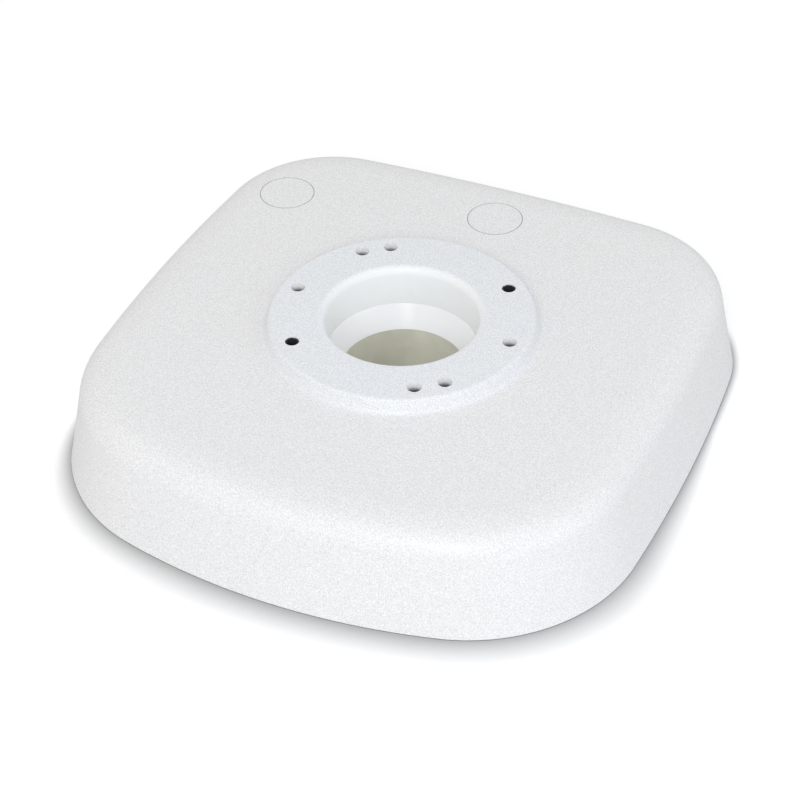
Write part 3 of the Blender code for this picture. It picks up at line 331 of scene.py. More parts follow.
def board_look():
    """Green solder mask with fine raised tracks showing through."""
    look = Look("solder_mask", (0.015, 0.12, 0.05), 0.3, coat=0.3)
    tracks = look.node("ShaderNodeTexBrick", Scale=1.0, offset=0.37, squash=1.0)
    for key, value in (("Brick Width", 0.011), ("Row Height", 0.0021), ("Mortar Size", 0.00022)):
        tracks.inputs[key].default_value = value
    look.link(look.place(), tracks.inputs["Vector"])
    mask, track = (0.012, 0.105, 0.045), (0.03, 0.2, 0.09)
    look.link(look.ramp(tracks.outputs["Fac"], ((0.0, mask), (1.0, track))), look.shader.inputs["Base Color"])
    look.bump(tracks.outputs["Fac"], 0.00005, 0.4)
    look.vary_roughness(look.noise(50.0), 0.25, 0.4)
    return look.material


def laminate_look():
    look = Look("laminate", (0.62, 0.55, 0.38), 0.4, coat=0.1)
    weave = look.node("ShaderNodeTexChecker", Scale=900.0)
    look.link(look.place(), weave.inputs["Vector"])
    light, dark = (0.64, 0.57, 0.4), (0.57, 0.5, 0.34)
    look.link(look.ramp(weave.outputs["Fac"], ((0.0, dark), (1.0, light))), look.shader.inputs["Base Color"])
    look.vary_roughness(look.noise(60.0), 0.34, 0.5)
    return look.material


LOOKS = {
    "gelcoat": gelcoat_look(),
    "gloss_white": gloss_white_look(),
    "khaki": plastic_look("khaki", (0.72, 0.71, 0.6), 0.5, 500.0),
    "rubber": rubber_look(),
    "cast_aluminium": cast_metal_look("cast_aluminium", (0.62, 0.63, 0.64)),
    "cast_iron": cast_metal_look("cast_iron", (0.22, 0.23, 0.24), 0.6),
    "sheet": brushed_sheet_look("sheet", (0.8, 0.81, 0.82)),
    "turned_aluminium": turned_metal_look("turned_aluminium", (0.8, 0.81, 0.82)),
    "stainless": turned_metal_look("stainless", (0.66, 0.65, 0.63), 0.22),
    "brass": turned_metal_look("brass", (0.78, 0.58, 0.27), 0.25),
    "copper": turned_metal_look("copper", (0.75, 0.33, 0.15), 0.3),
    "black_plastic": plastic_look("black_plastic", (0.028, 0.028, 0.032), 0.45),
    "grey_plastic": plastic_look("grey_plastic", (0.25, 0.26, 0.28), 0.4),
    # Painted shade: the grey that fills the gap round each plug.
    "gap_shade_fill": plastic_look("gap_shade_fill", (0.3, 0.3, 0.31), 0.6),
    "white_plastic": plastic_look("white_plastic", (0.72, 0.7, 0.64), 0.4),
    "solder_mask": board_look(),
    "laminate": laminate_look(),
    "tin": cast_metal_look("tin", (0.72, 0.72, 0.7), 0.35),
}

# ---------------------------------------------------------------- piece helpers


def finish_mesh(name, bm):
    mesh = bpy.data.meshes.new(name)
    bm.to_mesh(mesh)
    bm.free()
    return mesh


def link_object(name, mesh):
    made = bpy.data.objects.new(name, mesh)
    bpy.context.scene.collection.objects.link(made)
    return made


def bake(piece, sharp_degrees=32.0):
    """Applies a piece's modifiers and shades it smooth between its real edges."""
    bpy.context.view_layer.update()
    evaluated = piece.evaluated_get(bpy.context.evaluated_depsgraph_get())
    mesh = bpy.data.meshes.new_from_object(evaluated)
    piece.modifiers.clear()
    piece.data = mesh
    mesh.shade_smooth()
    mesh.set_sharp_from_angle(angle=math.radians(sharp_degrees))
    weighted = piece.modifiers.new("even_normals", "WEIGHTED_NORMAL")
    weighted.keep_sharp = True


def add_piece(name, mesh, look, body, replaces=(), cuts=(), joins=(), bevel=0.0, sharp_degrees=32.0):
    """Makes a finished piece: joined, cut, bevelled, baked, painted and put on its body."""
    piece = link_object(name, mesh)
    helpers = []
    for operation, meshes in (("UNION", joins), ("DIFFERENCE", cuts)):
        for tool in meshes:
            helper = link_object("tool", tool)
            modifier = piece.modifiers.new("tool", "BOOLEAN")
            modifier.operation = operation
            modifier.solver = "EXACT"
            modifier.object = helper
            helpers.append(helper)
    if bevel:
        rounding = piece.modifiers.new("rounding", "BEVEL")
        rounding.width = bevel
        rounding.segments = 2
        rounding.limit_method = "ANGLE"
        rounding.angle_limit = math.radians(40.0)
    bake(piece, sharp_degrees)
    for helper in helpers:
        bpy.data.objects.remove(helper, do_unlink=True)
    piece.data.materials.clear()
    piece.data.materials.append(LOOKS[look])
    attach(piece, body)
    if replaces:
        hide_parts(*replaces)
    return piece


def polar(radius, degrees):
    angle = math.radians(degrees)
    return radius * math.cos(angle), radius * math.sin(angle)


def skin(name, rings):
    """Joins rings of equally many points into one closed surface, the last ring to the first."""
    bm = bmesh.new()
    loops = [[bm.verts.new(point) for point in ring] for ring in rings]
    count = len(rings[0])
    for lower, upper in zip(loops, loops[1:] + loops[:1]):
        for i in range(count):
            j = (i + 1) % count
            bm.faces.new((lower[i], lower[j], upper[j], upper[i]))
    return finish_mesh(name, bm)


def lace(bm, loops):
    """Joins each loop to the next with faces; a loop of one point is the tip of a fan."""
    steps = max(len(loop) for loop in loops)
    for upper, lower in zip(loops, loops[1:]):
        for i in range(steps):
            corners = []
            for loop, k in ((lower, i), (lower, i + 1), (upper, i + 1), (upper, i)):
                vert = loop[k % len(loop)]
                if vert not in corners:
                    corners.append(vert)
            if len(corners) > 2:
                bm.faces.new(corners)


def turned_mesh(name, profile, x=0.0, y=0.0, steps=ROUND):
    """Turns (radius, height) points about a vertical axis; points on the axis become single points.

    The points run outwards over the top, down the outer side and back in.
    """
    bm = bmesh.new()
    loops = []
    for radius, z in profile:
        if radius <= 0.0:
            loops.append([bm.verts.new((x, y, z))])
        else:
            spots = [polar(radius, 360.0 * i / steps) for i in range(steps)]
            loops.append([bm.verts.new((x + px, y + py, z)) for px, py in spots])
    closed = profile[0][0] > 0.0
    lace(bm, loops + loops[:1] if closed else loops)
    return finish_mesh(name, bm)


def rounded_profile(points, radius, steps=3, closed=True):
    """Rounds a profile's corners with short arcs; an open profile keeps its ends."""
    count = len(points)
    spots = [Vector(point) for point in points]
    result = []
    for i, corner in enumerate(spots):
        if not closed and i in (0, count - 1):
            result.append(tuple(corner))
            continue
        before, after = spots[i - 1], spots[(i + 1) % count]
        reach = min(radius, (before - corner).length * 0.45, (after - corner).length * 0.45)
        start = corner + (before - corner).normalized() * reach
        finish = corner + (after - corner).normalized() * reach
        for step in range(steps + 1):
            share = step / steps
            result.append(tuple(start.lerp(corner, share).lerp(corner.lerp(finish, share), share)))
    return result


def ring_profile(inner, outer, low_z, high_z):
    return [(inner, high_z), (outer, high_z), (outer, low_z), (inner, low_z)]


def disc_profile(radius, low_z, high_z):
    return ring_profile(0.0, radius, low_z, high_z)


def rods_mesh(rods, low_z, high_z, steps=SMALL_ROUND):
    """Upright cylinders given as (x, y, radius)."""
    bm = bmesh.new()
    for x, y, radius in rods:
        place = Matrix.Translation((x, y, (low_z + high_z) / 2))
        bmesh.ops.create_cone(
            bm, cap_ends=True, segments=steps, radius1=radius, radius2=radius,
            depth=high_z - low_z, matrix=place,
        )
    return finish_mesh("rods", bm)


def boxes_mesh(boxes):
    """Boxes given as (low corner, high corner)."""
    bm = bmesh.new()
    for low, high in boxes:
        low, high = Vector(low), Vector(high)
        place = Matrix.Translation((low + high) / 2) @ Matrix.Diagonal((*(high - low), 1.0))
        bmesh.ops.create_cube(bm, size=1.0, matrix=place)
    return finish_mesh("boxes", bm)


def extruded(name, points, way):
    """Carries a flat outline along a vector and closes it."""
    bm = bmesh.new()
    face = bm.faces.new([bm.verts.new(point) for point in points])
    grown = bmesh.ops.extrude_face_region(bm, geom=[face])["geom"]
    far = [item for item in grown if isinstance(item, bmesh.types.BMVert)]
    bmesh.ops.translate(bm, verts=far, vec=way)
    bmesh.ops.recalc_face_normals(bm, faces=bm.faces)
    return finish_mesh(name, bm)


def prism(name, points, low_z, high_z):
    return extruded(name, [(x, y, low_z) for x, y in points], (0.0, 0.0, high_z - low_z))


BODY_OF = {
    node: body for body, nodes in frame["record"]["behaviour"]["bodies"].items() for node in nodes
}


def stand_in(node, mesh, look, **options):
    """Adds the finished piece that is shown in place of a CAD node, on the same body."""
    return add_piece(node + "_fine", mesh, look, BODY_OF[node], replaces=(node,), **options)


def detail(name, mesh, look, node, **options):
    """Adds a small extra piece to the body of a CAD node."""
    return add_piece(name, mesh, look, BODY_OF[node], **options)


def turned_stand_in(node, profile, look, steps=SMALL_ROUND, **options):
    """A stand-in that is turned about the upright axis of its CAD node."""
    place = centre(node)
    return stand_in(node, turned_mesh(node, profile, place.x, place.y, steps), look, **options)


def rods_at(places, radius):
    return [(place.x, place.y, radius) for place in places]


# ---------------------------------------------------------------- plan outline, as on the CAD body

SIDE_RADIUS = 1415.0 * MM
FRONT = {"side_sweep": 4.35, "corner_radius": 133.4 * MM, "end_sweep": 14.23}
BACK = {"side_sweep": 4.77, "corner_radius": 104.3 * MM, "end_sweep": 3.53}
OUTLINE_STEPS = (10, 34, 12)


def quarter_point(shape, degrees, inset):
    """The point of one quarter where the outline's normal is degrees away from the side's."""
    side = math.radians(shape["side_sweep"])
    end = math.radians(shape["end_sweep"])
    corner_radius = shape["corner_radius"]
    side_x = HALF_WIDTH - SIDE_RADIUS
    corner_x = side_x + (SIDE_RADIUS - corner_radius) * math.cos(side)
    corner_y = (SIDE_RADIUS - corner_radius) * math.sin(side)
    end_radius = corner_radius + corner_x / math.sin(end)
    end_y = corner_y - (end_radius - corner_radius) * math.cos(end)
    if degrees <= shape["side_sweep"]:
        x, y, radius = side_x, 0.0, SIDE_RADIUS
    elif degrees <= 90.0 - shape["end_sweep"]:
        x, y, radius = corner_x, corner_y, corner_radius
    else:
        x, y, radius = 0.0, end_y, end_radius
    along_x, along_y = polar(radius - inset, degrees)
    return x + along_x, y + along_y


WIDEST_Y = SHELL_HIGH.y - quarter_point(BACK, 90.0, 0.0)[1]


def plan_point(degrees, inset):
    """The outline's point whose outward normal points degrees anticlockwise from +X."""
    across = math.cos(math.radians(degrees))
    along = math.sin(math.radians(degrees))
    x, y = quarter_point(
        BACK if along >= 0.0 else FRONT, math.degrees(math.atan2(abs(along), abs(across))), inset
    )
    return math.copysign(x, across), WIDEST_Y + math.copysign(y, along)


def quarter_angles(shape):
    marks = (0.0, shape["side_sweep"], 90.0 - shape["end_sweep"], 90.0)
    angles = [
        low + (high - low) * i / steps
        for low, high, steps in zip(marks, marks[1:], OUTLINE_STEPS)
        for i in range(steps)
    ]
    return angles + [90.0]


def outline_angles():
    back, front = quarter_angles(BACK), quarter_angles(FRONT)
    return (
        back[:-1]
        + [180.0 - angle for angle in reversed(back)][:-1]
        + [180.0 + angle for angle in front][:-1]
        + [360.0 - angle for angle in reversed(front)][:-1]
    )


OUTLINE_ANGLES = outline_angles()
OUTLINE_COUNT = len(OUTLINE_ANGLES)


def outline(inset, z):
    return [(*plan_point(angle, inset), z) for angle in OUTLINE_ANGLES]


def circle(radius, z):
    return [(*polar(radius, 360.0 * i / OUTLINE_COUNT), z) for i in range(OUTLINE_COUNT)]


# ---------------------------------------------------------------- radome


def shoulder(offset, shoulder_steps, crown_steps):
    """(inset, z) from the wall over the shoulder arc and the wider crown arc to the flat top."""
    draft = math.radians(DRAFT)
    handover = math.radians(90.0 - CROWN_SWEEP)
    crown_z = TOP_Z - CROWN_RADIUS
    centre_z = crown_z + (CROWN_RADIUS - SHOULDER_RADIUS) * math.sin(handover)
    centre_inset = centre_z * math.tan(draft) + SHOULDER_RADIUS / math.cos(draft)
    crown_inset = centre_inset + (CROWN_RADIUS - SHOULDER_RADIUS) * math.cos(handover)
    points = []
    for i in range(shoulder_steps + 1):
        angle = draft + (handover - draft) * i / shoulder_steps
        radius = SHOULDER_RADIUS - offset
        points.append((centre_inset - radius * math.cos(angle), centre_z + radius * math.sin(angle)))
    for i in range(1, crown_steps + 1):
        angle = handover + (math.pi / 2 - handover) * i / crown_steps
        radius = CROWN_RADIUS - offset
        points.append((crown_inset - radius * math.cos(angle), crown_z + radius * math.sin(angle)))
    return points


def wall_inset(z, offset):
    draft = math.radians(DRAFT)
    return z * math.tan(draft) + offset / math.cos(draft)


def ring_section():
    """(radius, z) over the raised ring, from its foot on the flat top to the bore."""
    turns = [RING_FLANK_ANGLE * i / RING_STEPS for i in range(RING_STEPS + 1)]
    points = []
    for turn in turns:
        across, up = polar(RING_FOOT_ROUNDING, turn - 90.0)
        points.append((RING_FOOT_RADIUS - across, TOP_Z + RING_FOOT_ROUNDING + up))
    across, up = polar(RING_EDGE_ROUNDING, 90.0 - RING_FLANK_ANGLE)
    flank_rise = RING_TOP_Z - RING_EDGE_ROUNDING + up - points[-1][1]
    edge_radius = points[-1][0] - flank_rise / math.tan(math.radians(RING_FLANK_ANGLE)) - across
    for turn in reversed(turns):
        across, up = polar(RING_EDGE_ROUNDING, 90.0 - turn)
        points.append((edge_radius + across, RING_TOP_Z - RING_EDGE_ROUNDING + up))
    points.append((LIP_OUTER_RADIUS + 1.0 * MM, RING_TOP_Z))
    for i in range(LIP_STEPS + 1):
        angle = math.radians(90.0 * i / LIP_STEPS)
        points.append((
            LIP_OUTER_RADIUS - (LIP_OUTER_RADIUS - BORE_TOP_RADIUS) * math.sin(angle),
            BORE_TOP_Z + (RING_TOP_Z - BORE_TOP_Z) * math.cos(angle),
        ))
    return points


def radome_rings():
    """The shell's section, up the outside, down through the bore, and back along the inside."""
    rings = []
    for angle in (-90.0, -60.0, -30.0, DRAFT):
        reach, rise = polar(RIM_ROUNDING, angle)
        rings.append(outline(RIM_ROUNDING - reach, RIM_ROUNDING + rise))
    rings.append(outline(wall_inset(WALL_FOOT_Z, 0.0), WALL_FOOT_Z))
    rings += [outline(inset, z) for inset, z in shoulder(0.0, 16, 6)]
    rings += [circle(radius, z) for radius, z in ring_section()]
    rings += [
        circle(BORE_RADIUS + 0.05 * MM, COLLAR_Z + COLLAR_EDGE),
        circle(BORE_RADIUS + COLLAR_EDGE, COLLAR_Z),
        circle(COLLAR_RADIUS - COLLAR_EDGE, COLLAR_Z),
        circle(COLLAR_RADIUS, COLLAR_Z + COLLAR_EDGE),
        circle(COLLAR_RADIUS, TOP_Z - SKIN),
    ]
    rings += [outline(inset, z) for inset, z in reversed(shoulder(SKIN, 8, 3))]
    rings += [
        outline(wall_inset(LEDGE_TOP_Z + SKIN, SKIN), LEDGE_TOP_Z + SKIN),
        outline(LEDGE_INSET, LEDGE_TOP_Z),
        outline(LEDGE_INSET, LEDGE_Z),
        outline(RECESS_INSET, LEDGE_Z),
        outline(RECESS_INSET - 1.4 * MM, 0.0),
    ]
    return rings


def ring_places(angles):
    return [polar(BOLT_CIRCLE_RADIUS, angle) for angle in angles]


def merge_meshes(meshes):
    bm = bmesh.new()
    for mesh in meshes:
        bm.from_mesh(mesh)
    return finish_mesh("merged", bm)


def hole_tools(places, depth, tip):
    """Drills with a small edge break at the mouth and, on a blind hole, a drill point."""
    edge = 0.4 * MM
    radius = RING_HOLE_RADIUS
    profile = [
        (0.0, RING_TOP_Z + MM), (radius + edge, RING_TOP_Z + MM), (radius + edge, RING_TOP_Z),
        (radius + edge * 0.3, RING_TOP_Z - edge * 0.3), (radius, RING_TOP_Z - edge),
        (radius, RING_TOP_Z - depth), (0.0, RING_TOP_Z - depth - tip),
    ]
    return merge_meshes([turned_mesh("drill", profile, x, y, SMALL_ROUND) for x, y in places])


def plug_seat(plug, radius, low_z):
    """The round recess that a plug lies in, with a slight edge break at its mouth."""
    edge = 0.05 * MM
    profile = [
        (0.0, TOP_Z + MM), (radius + edge, TOP_Z + MM), (radius + edge, TOP_Z),
        (radius, TOP_Z - edge), (radius, low_z), (0.0, low_z),
    ]
    return turned_mesh("seat", profile, plug.x, plug.y, PLUG_STEPS)


def make_shell(plugs, seat_radius, plug_low):
    screws = screw_places("cover", 8)
    bosses = rods_mesh(rods_at(screws, 5.5 * MM), LEDGE_Z - 1.7 * MM, 20 * MM, 32)
    threads = rods_mesh(rods_at(screws, 2.3 * MM), 5 * MM, 18 * MM, 24)
    add_piece(
        "radome_shell_fine", skin("radome_shell_fine", radome_rings()), "gelcoat", "radome",
        replaces=("radome_shell",),
        joins=[bosses],
        cuts=[
            threads,
            hole_tools(ring_places(BLIND_HOLE_ANGLES), BLIND_HOLE_DEPTH, 1.4 * MM),
            hole_tools(ring_places(BUSHED_HOLE_ANGLES), RING_TOP_Z - TOP_Z + 2 * SKIN, 0.0),
            merge_meshes([plug_seat(plug, seat_radius, plug_low - PLUG_GAP) for plug in plugs]),
        ],
    )


def make_plug(name, plug, seat_radius, plug_low):
    """A flush disc with a thin grey ring filling the gap round it, its darkness painted shade for the gap."""
    edge = 0.05 * MM
    plug_edge = seat_radius - GAP_SHADE_WIDTH
    profile = rounded_profile(disc_profile(plug_edge, plug_low, TOP_Z), edge, 2, closed=False)
    add_piece(
        name + "_fine", turned_mesh("plug", profile, plug.x, plug.y, PLUG_STEPS), "gelcoat", "radome",
        replaces=(name,),
    )
    # Painted shade: a grey ring fills the gap round the plug, standing in for the gap's shade.
    slack = 0.01 * MM
    bead = ring_profile(plug_edge + slack, seat_radius - slack, TOP_Z - MM, TOP_Z - edge)
    bead = turned_mesh("bead", rounded_profile(bead, edge, 1), plug.x, plug.y, PLUG_STEPS)
    add_piece(name + "_gap_shade_fill", bead, "gap_shade_fill", "radome")


def make_radome():
    names = ("blanking_plug_left", "blanking_plug_right")
    plugs = [centre(name) for name in names]
    plug_low = low_high(names[0])[0].z
    seat_radius = outer_radius(names[0]) + PLUG_GAP
    make_shell(plugs, seat_radius, plug_low)
    for name, plug in zip(names, plugs):
        make_plug(name, plug, seat_radius, plug_low)
    for node in ("mount_bush_1", "mount_bush_2"):
        low, high = low_high(node)
        radius = outer_radius(node)
        profile = rounded_profile(ring_profile(radius - MM, radius, low.z, high.z), 0.3 * MM)
        turned_stand_in(node, profile, "rubber")


# ---------------------------------------------------------------- hub

HUB_BORE = 47.6 * MM
HUB_RADIUS = 51.0 * MM
HUB_FLANGE_LOW_Z = 8.3 * MM
HUB_FLANGE_TOP_Z = 11.3 * MM
FUNNEL_WALL = 2.5 * MM


def make_hub():
    """The tube that the bearing sits on, and the glossy funnel that joins it to the bore."""
    low = low_high("hub_tube")[0]
    flange = outer_radius("hub_tube")
    shoulder_z = low_high("bearing_inner_race")[0].z - 0.3 * MM
    shoulder_radius = outer_radius("bearing_inner_race") - MM
    tube = rounded_profile([
        (HUB_BORE, HUB_TOP_Z), (HUB_RADIUS, HUB_TOP_Z), (HUB_RADIUS, shoulder_z),
        (shoulder_radius, shoulder_z), (shoulder_radius, HUB_FLANGE_TOP_Z), (flange, HUB_FLANGE_TOP_Z),
        (flange, HUB_FLANGE_LOW_Z), (HUB_RADIUS, HUB_FLANGE_LOW_Z), (HUB_RADIUS, low.z), (HUB_BORE, low.z),
    ], 0.4 * MM, 2)
    threads = rods_mesh(rods_at(screw_places("hub", 4), 1.9 * MM), 7 * MM, 13 * MM, 20)
    stand_in("hub_tube", turned_mesh("hub_tube", tube), "khaki", cuts=[threads])
    funnel_radius = outer_radius("hub_funnel")
    flange_low = FUNNEL_TOP_Z - FUNNEL_WALL
    foot_z = HUB_TOP_Z + 0.3 * MM
    funnel = rounded_profile([
        (BORE_RADIUS, FUNNEL_TOP_Z), (funnel_radius, FUNNEL_TOP_Z), (funnel_radius, flange_low),
        (BORE_RADIUS + 1.6 * MM, flange_low), (HUB_RADIUS, foot_z), (HUB_BORE - 0.2 * MM, foot_z),
    ], 0.4 * MM, 3)
    stand_in("hub_funnel", turned_mesh("hub_funnel", funnel, steps=160), "gloss_white")


# ---------------------------------------------------------------- helpers for the inner pieces


def moved(mesh, location, turn=0.0):
    mesh.transform(Matrix.Translation(location) @ Matrix.Rotation(math.radians(turn), 4, "Z"))
    return mesh


def aimed(mesh, location, heading):
    """Turns a mesh's +Z to a heading and puts its origin at a location."""
    turn = Vector(heading).to_track_quat("Z", "Y").to_matrix().to_4x4()
    mesh.transform(Matrix.Translation(location) @ turn)
    return mesh


def box_mesh(low, high):
    return boxes_mesh([(low, high)])


def boxes_round(low, high, angles, middle=(0.0, 0.0, 0.0)):
    """Equal boxes, each turned by its own angle and then moved to a middle."""
    return merge_meshes([moved(box_mesh(low, high), middle, angle) for angle in angles])


def screw_mesh(head_radius, head_height, shank_radius, shank_length, pitch=0.0, steps=24):
    """A screw along +Z: its head with a hexagon socket stands above z = 0, its shank below."""
    socket = head_radius * 0.52
    floor_z = head_height * 0.4
    profile = [
        (0.0, floor_z, False), (socket, floor_z, True), (socket, head_height * 0.96, True),
        (socket * 1.08, head_height, False), (head_radius * 0.72, head_height, False),
        (head_radius * 0.93, head_height * 0.8, False), (head_radius, head_height * 0.45, False),
        (head_radius, head_height * 0.06, False), (head_radius * 0.97, 0.0, False),
        (shank_radius, 0.0, False),
    ]
    if pitch:
        turns = int(shank_length / pitch) - 1
        for i in range(turns):
            z = -pitch * (i + 0.6)
            profile += [(shank_radius * 0.84, z, False), (shank_radius, z - pitch * 0.5, False)]
    profile += [(shank_radius * 0.8, -shank_length, False), (0.0, -shank_length, False)]
    bm = bmesh.new()
    loops = []
    for radius, z, hexagonal in profile:
        if radius <= 0.0:
            loops.append([bm.verts.new((0.0, 0.0, z))])
            continue
        loop = []
        for i in range(steps):
            degrees = 360.0 * i / steps
            reach = radius
            if hexagonal:
                reach *= math.cos(math.radians(30.0)) / math.cos(math.radians(degrees % 60.0 - 30.0))
            loop.append(bm.verts.new((*polar(reach, degrees), z)))
        loops.append(loop)
    lace(bm, loops)
    return finish_mesh("screw", bm)


def add_screws(name, places, heading, node, head_radius=2.6 * MM, head_height=1.6 * MM, length=4 * MM):
    """A group of equal small screws on one body, sunk by their shanks into what they hold."""
    screws = [
        aimed(screw_mesh(head_radius, head_height, head_radius * 0.55, length), place, heading)
        for place in places
    ]
    detail(name, merge_meshes(screws), "stainless", node)


def tube_mesh(points, radius, sides=14):
    """A round tube through points, closed at both ends."""
    bm = bmesh.new()
    points = [Vector(point) for point in points]
    last = len(points) - 1
    side = None
    loops = []
    for i, point in enumerate(points):
        ahead = (points[min(i + 1, last)] - points[max(i - 1, 0)]).normalized()
        side = ahead.orthogonal() if side is None else side - ahead * side.dot(ahead)
        side.normalize()
        other = ahead.cross(side)
        loop = []
        for k in range(sides):
            reach, rise = polar(radius, 360.0 * k / sides)
            loop.append(bm.verts.new(point + side * reach + other * rise))
        loops.append(loop)
    for first, second in zip(loops, loops[1:]):
        for k in range(sides):
            m = (k + 1) % sides
            bm.faces.new((first[k], first[m], second[m], second[k]))
    bm.faces.new(list(reversed(loops[0])))
    bm.faces.new(loops[-1])
    return finish_mesh("tube", bm)


def rounded_run(corners, radius, steps=8):
    """Puts a short curved bend at each inner corner of a run of points."""
    points = [Vector(corners[0])]
    for before, corner, after in zip(corners, corners[1:], corners[2:]):
        corner = Vector(corner)
        start = corner + (Vector(before) - corner).normalized() * radius
        finish = corner + (Vector(after) - corner).normalized() * radius
        for i in range(steps + 1):
            share = i / steps
            points.append(start.lerp(corner, share).lerp(corner.lerp(finish, share), share))
    points.append(Vector(corners[-1]))
    return points


def toothed_pulley(name, bore, radius, teeth, low_z, high_z, x=0.0, y=0.0):
    """A flanged belt pulley with square teeth between its flanges."""
    flange, thickness, depth, chamfer = radius + PULLEY_FLANGE, MM, 0.9 * MM, 0.25 * MM
    root, run_in = radius + 0.2 * MM, 0.1 * MM
    low_face, high_face = low_z + thickness, high_z - thickness
    count = teeth * 4

    def ring(outer, z, toothed=False):
        points = []
        for i in range(count):
            reach = outer - depth if toothed and i % 4 < 2 else outer
            px, py = polar(reach, 360.0 * (i + 0.5) / count)
            points.append((x + px, y + py, z))
        return points

    return skin(name, [
        ring(flange - chamfer, low_z), ring(flange, low_z + chamfer), ring(flange, low_face - chamfer),
        ring(root, low_face), ring(radius, low_face + run_in, True),
        ring(radius, high_face - run_in, True), ring(root, high_face),
        ring(flange, high_face + chamfer), ring(flange, high_z - chamfer), ring(flange - chamfer, high_z),
        ring(bore + chamfer, high_z), ring(bore, high_z - chamfer),
        ring(bore, low_z + chamfer), ring(bore + chamfer, low_z),
    ])


# ---------------------------------------------------------------- base plate, gasket, screws and inserts

HUB_HOLE_RADIUS = 51.4 * MM
PLATE_INSET = 6.9 * MM
PLATE_LOW_Z = 4.0 * MM
PLATE_TOP_Z = 8.0 * MM
PAD_RADIUS = 14.0 * MM
PAD_FOOT_RADIUS = 17.0 * MM
RIB_LOW_Z = 2.0 * MM
RIB_REACHES = {
    0: 195 * MM, 45: 127 * MM, 90: 195 * MM, 135: 127 * MM,
    180: 195 * MM, 225: 127 * MM, 270: 170 * MM, 315: 127 * MM,
}
BOARD_POST_MARGIN = 6.0 * MM
GASKET_MARGIN = 1.6 * MM


def screw_places(kind, count):
    return [centre(f"{kind}_screw_{i}") for i in range(1, count + 1)]


def board_corners(node):
    low, high = low_high(node)
    margin = BOARD_POST_MARGIN
    return [(x, y) for x in (low.x + margin, high.x - margin) for y in (low.y + margin, high.y - margin)]


def all_board_corners():
    return [(board, x, y) for board in ("control_board", "power_board") for x, y in board_corners(board)]


def sector(inner, outer, low_degrees, high_degrees, steps):
    spread = [low_degrees + (high_degrees - low_degrees) * i / steps for i in range(steps + 1)]
    return [polar(outer, angle) for angle in spread] + [polar(inner, angle) for angle in reversed(spread)]


def plate_pads(places):
    """Round pads that stand down to the plane of the radome's rim."""
    base_z = PLATE_LOW_Z + MM
    profile = rounded_profile([
        (0.0, base_z), (PAD_FOOT_RADIUS, base_z), (PAD_FOOT_RADIUS, PLATE_LOW_Z),
        (PAD_RADIUS + 0.2 * MM, PLATE_LOW_Z - 1.6 * MM), (PAD_RADIUS, 0.0), (0.0, 0.0),
    ], 0.6 * MM, 2, closed=False)
    return merge_meshes([turned_mesh("pad", profile, place.x, place.y, 48) for place in places])


def plate_ribs():
    """The ribs under the plate: one along the edge, one round the hub, and rays between them."""
    base_z = PLATE_LOW_Z + MM
    rim_low = RIB_LOW_Z + 0.3 * MM
    rim_rib = skin("rim_rib", [
        outline(8.0 * MM, rim_low), outline(7.6 * MM, base_z),
        outline(11.2 * MM, base_z), outline(10.8 * MM, rim_low),
    ])
    hub_rib = turned_mesh("hub_rib", [
        (66 * MM, base_z), (70 * MM, base_z), (69.6 * MM, RIB_LOW_Z), (66.4 * MM, RIB_LOW_Z),
    ])
    rays = []
    for degrees, reach in RIB_REACHES.items():
        ray = box_mesh((69 * MM, -1.5 * MM, RIB_LOW_Z), (reach, 1.5 * MM, base_z))
        rays.append(moved(ray, (0.0, 0.0, 0.0), degrees))
    return [rim_rib, hub_rib, merge_meshes(rays)]


def make_base_plate():
    """A cast plate with pads and posts, a ribbed underside and a broken edge all round."""
    pads = [centre(f"base_insert_{i}") for i in range(1, 5)]
    covers = screw_places("cover", 8)
    sockets = [centre("power_connector"), centre("network_connector")]
    vent = [centre("breather_vent")]
    plan = [plan_point(angle, PLATE_INSET) for angle in OUTLINE_ANGLES]
    plate = prism("base_plate", plan, PLATE_LOW_Z, PLATE_TOP_Z)
    corners = [(x, y, low_high(board)[1].z) for board, x, y in all_board_corners()]
    posts = rods_mesh([(x, y, 3.2 * MM) for x, y, z in corners], PLATE_LOW_Z + MM, 11.7 * MM, 24)
    hub_hole = rods_mesh([(0.0, 0.0, HUB_HOLE_RADIUS)], 0.0, 12 * MM, ROUND)
    holes = rods_at(covers, 2.8 * MM) + rods_at(screw_places("hub", 4), 1.9 * MM)
    holes += rods_at(pads, 6.8 * MM) + rods_at(sockets, 9.6 * MM) + rods_at(vent, 4.3 * MM)
    drills = rods_mesh(holes, -MM, 12 * MM, 40)
    clear = rods_at(covers, 4.6 * MM) + rods_at(sockets, 12.6 * MM) + rods_at(vent, 7.6 * MM)
    spot_faces = rods_mesh(clear, -2 * MM, PLATE_LOW_Z, 48)
    stand_in(
        "base_plate", plate, "cast_aluminium", bevel=0.35 * MM,
        joins=[*plate_ribs(), plate_pads(pads), posts], cuts=[spot_faces, hub_hole, drills],
    )
    add_screws("board_screws", corners, UP, "base_plate", 2.4 * MM, 1.5 * MM, 1.2 * MM)


def make_base_gasket():
    """A moulded gasket with a bead along each face."""
    low, high = low_high("base_gasket")
    inner, outer = LEDGE_INSET - GASKET_MARGIN, RECESS_INSET + GASKET_MARGIN
    middle, middle_z = (inner + outer) / 2, (low.z + high.z) / 2
    bead, dip, bulge = 0.6 * MM, 0.25 * MM, 0.15 * MM
    low_face, high_face = low.z + dip, high.z - dip
    section = [
        (outer + bulge, low_face), (outer, middle_z), (outer + bulge, high_face),
        (middle - bead, high_face), (middle - bead / 2, high.z),
        (middle + bead / 2, high.z), (middle + bead, high_face),
        (inner - bulge, high_face), (inner, middle_z), (inner - bulge, low_face),
        (middle + bead, low_face), (middle + bead / 2, low.z),
        (middle - bead / 2, low.z), (middle - bead, low_face),
    ]
    stand_in("base_gasket", skin("base_gasket", [outline(inset, z) for inset, z in section]), "rubber")


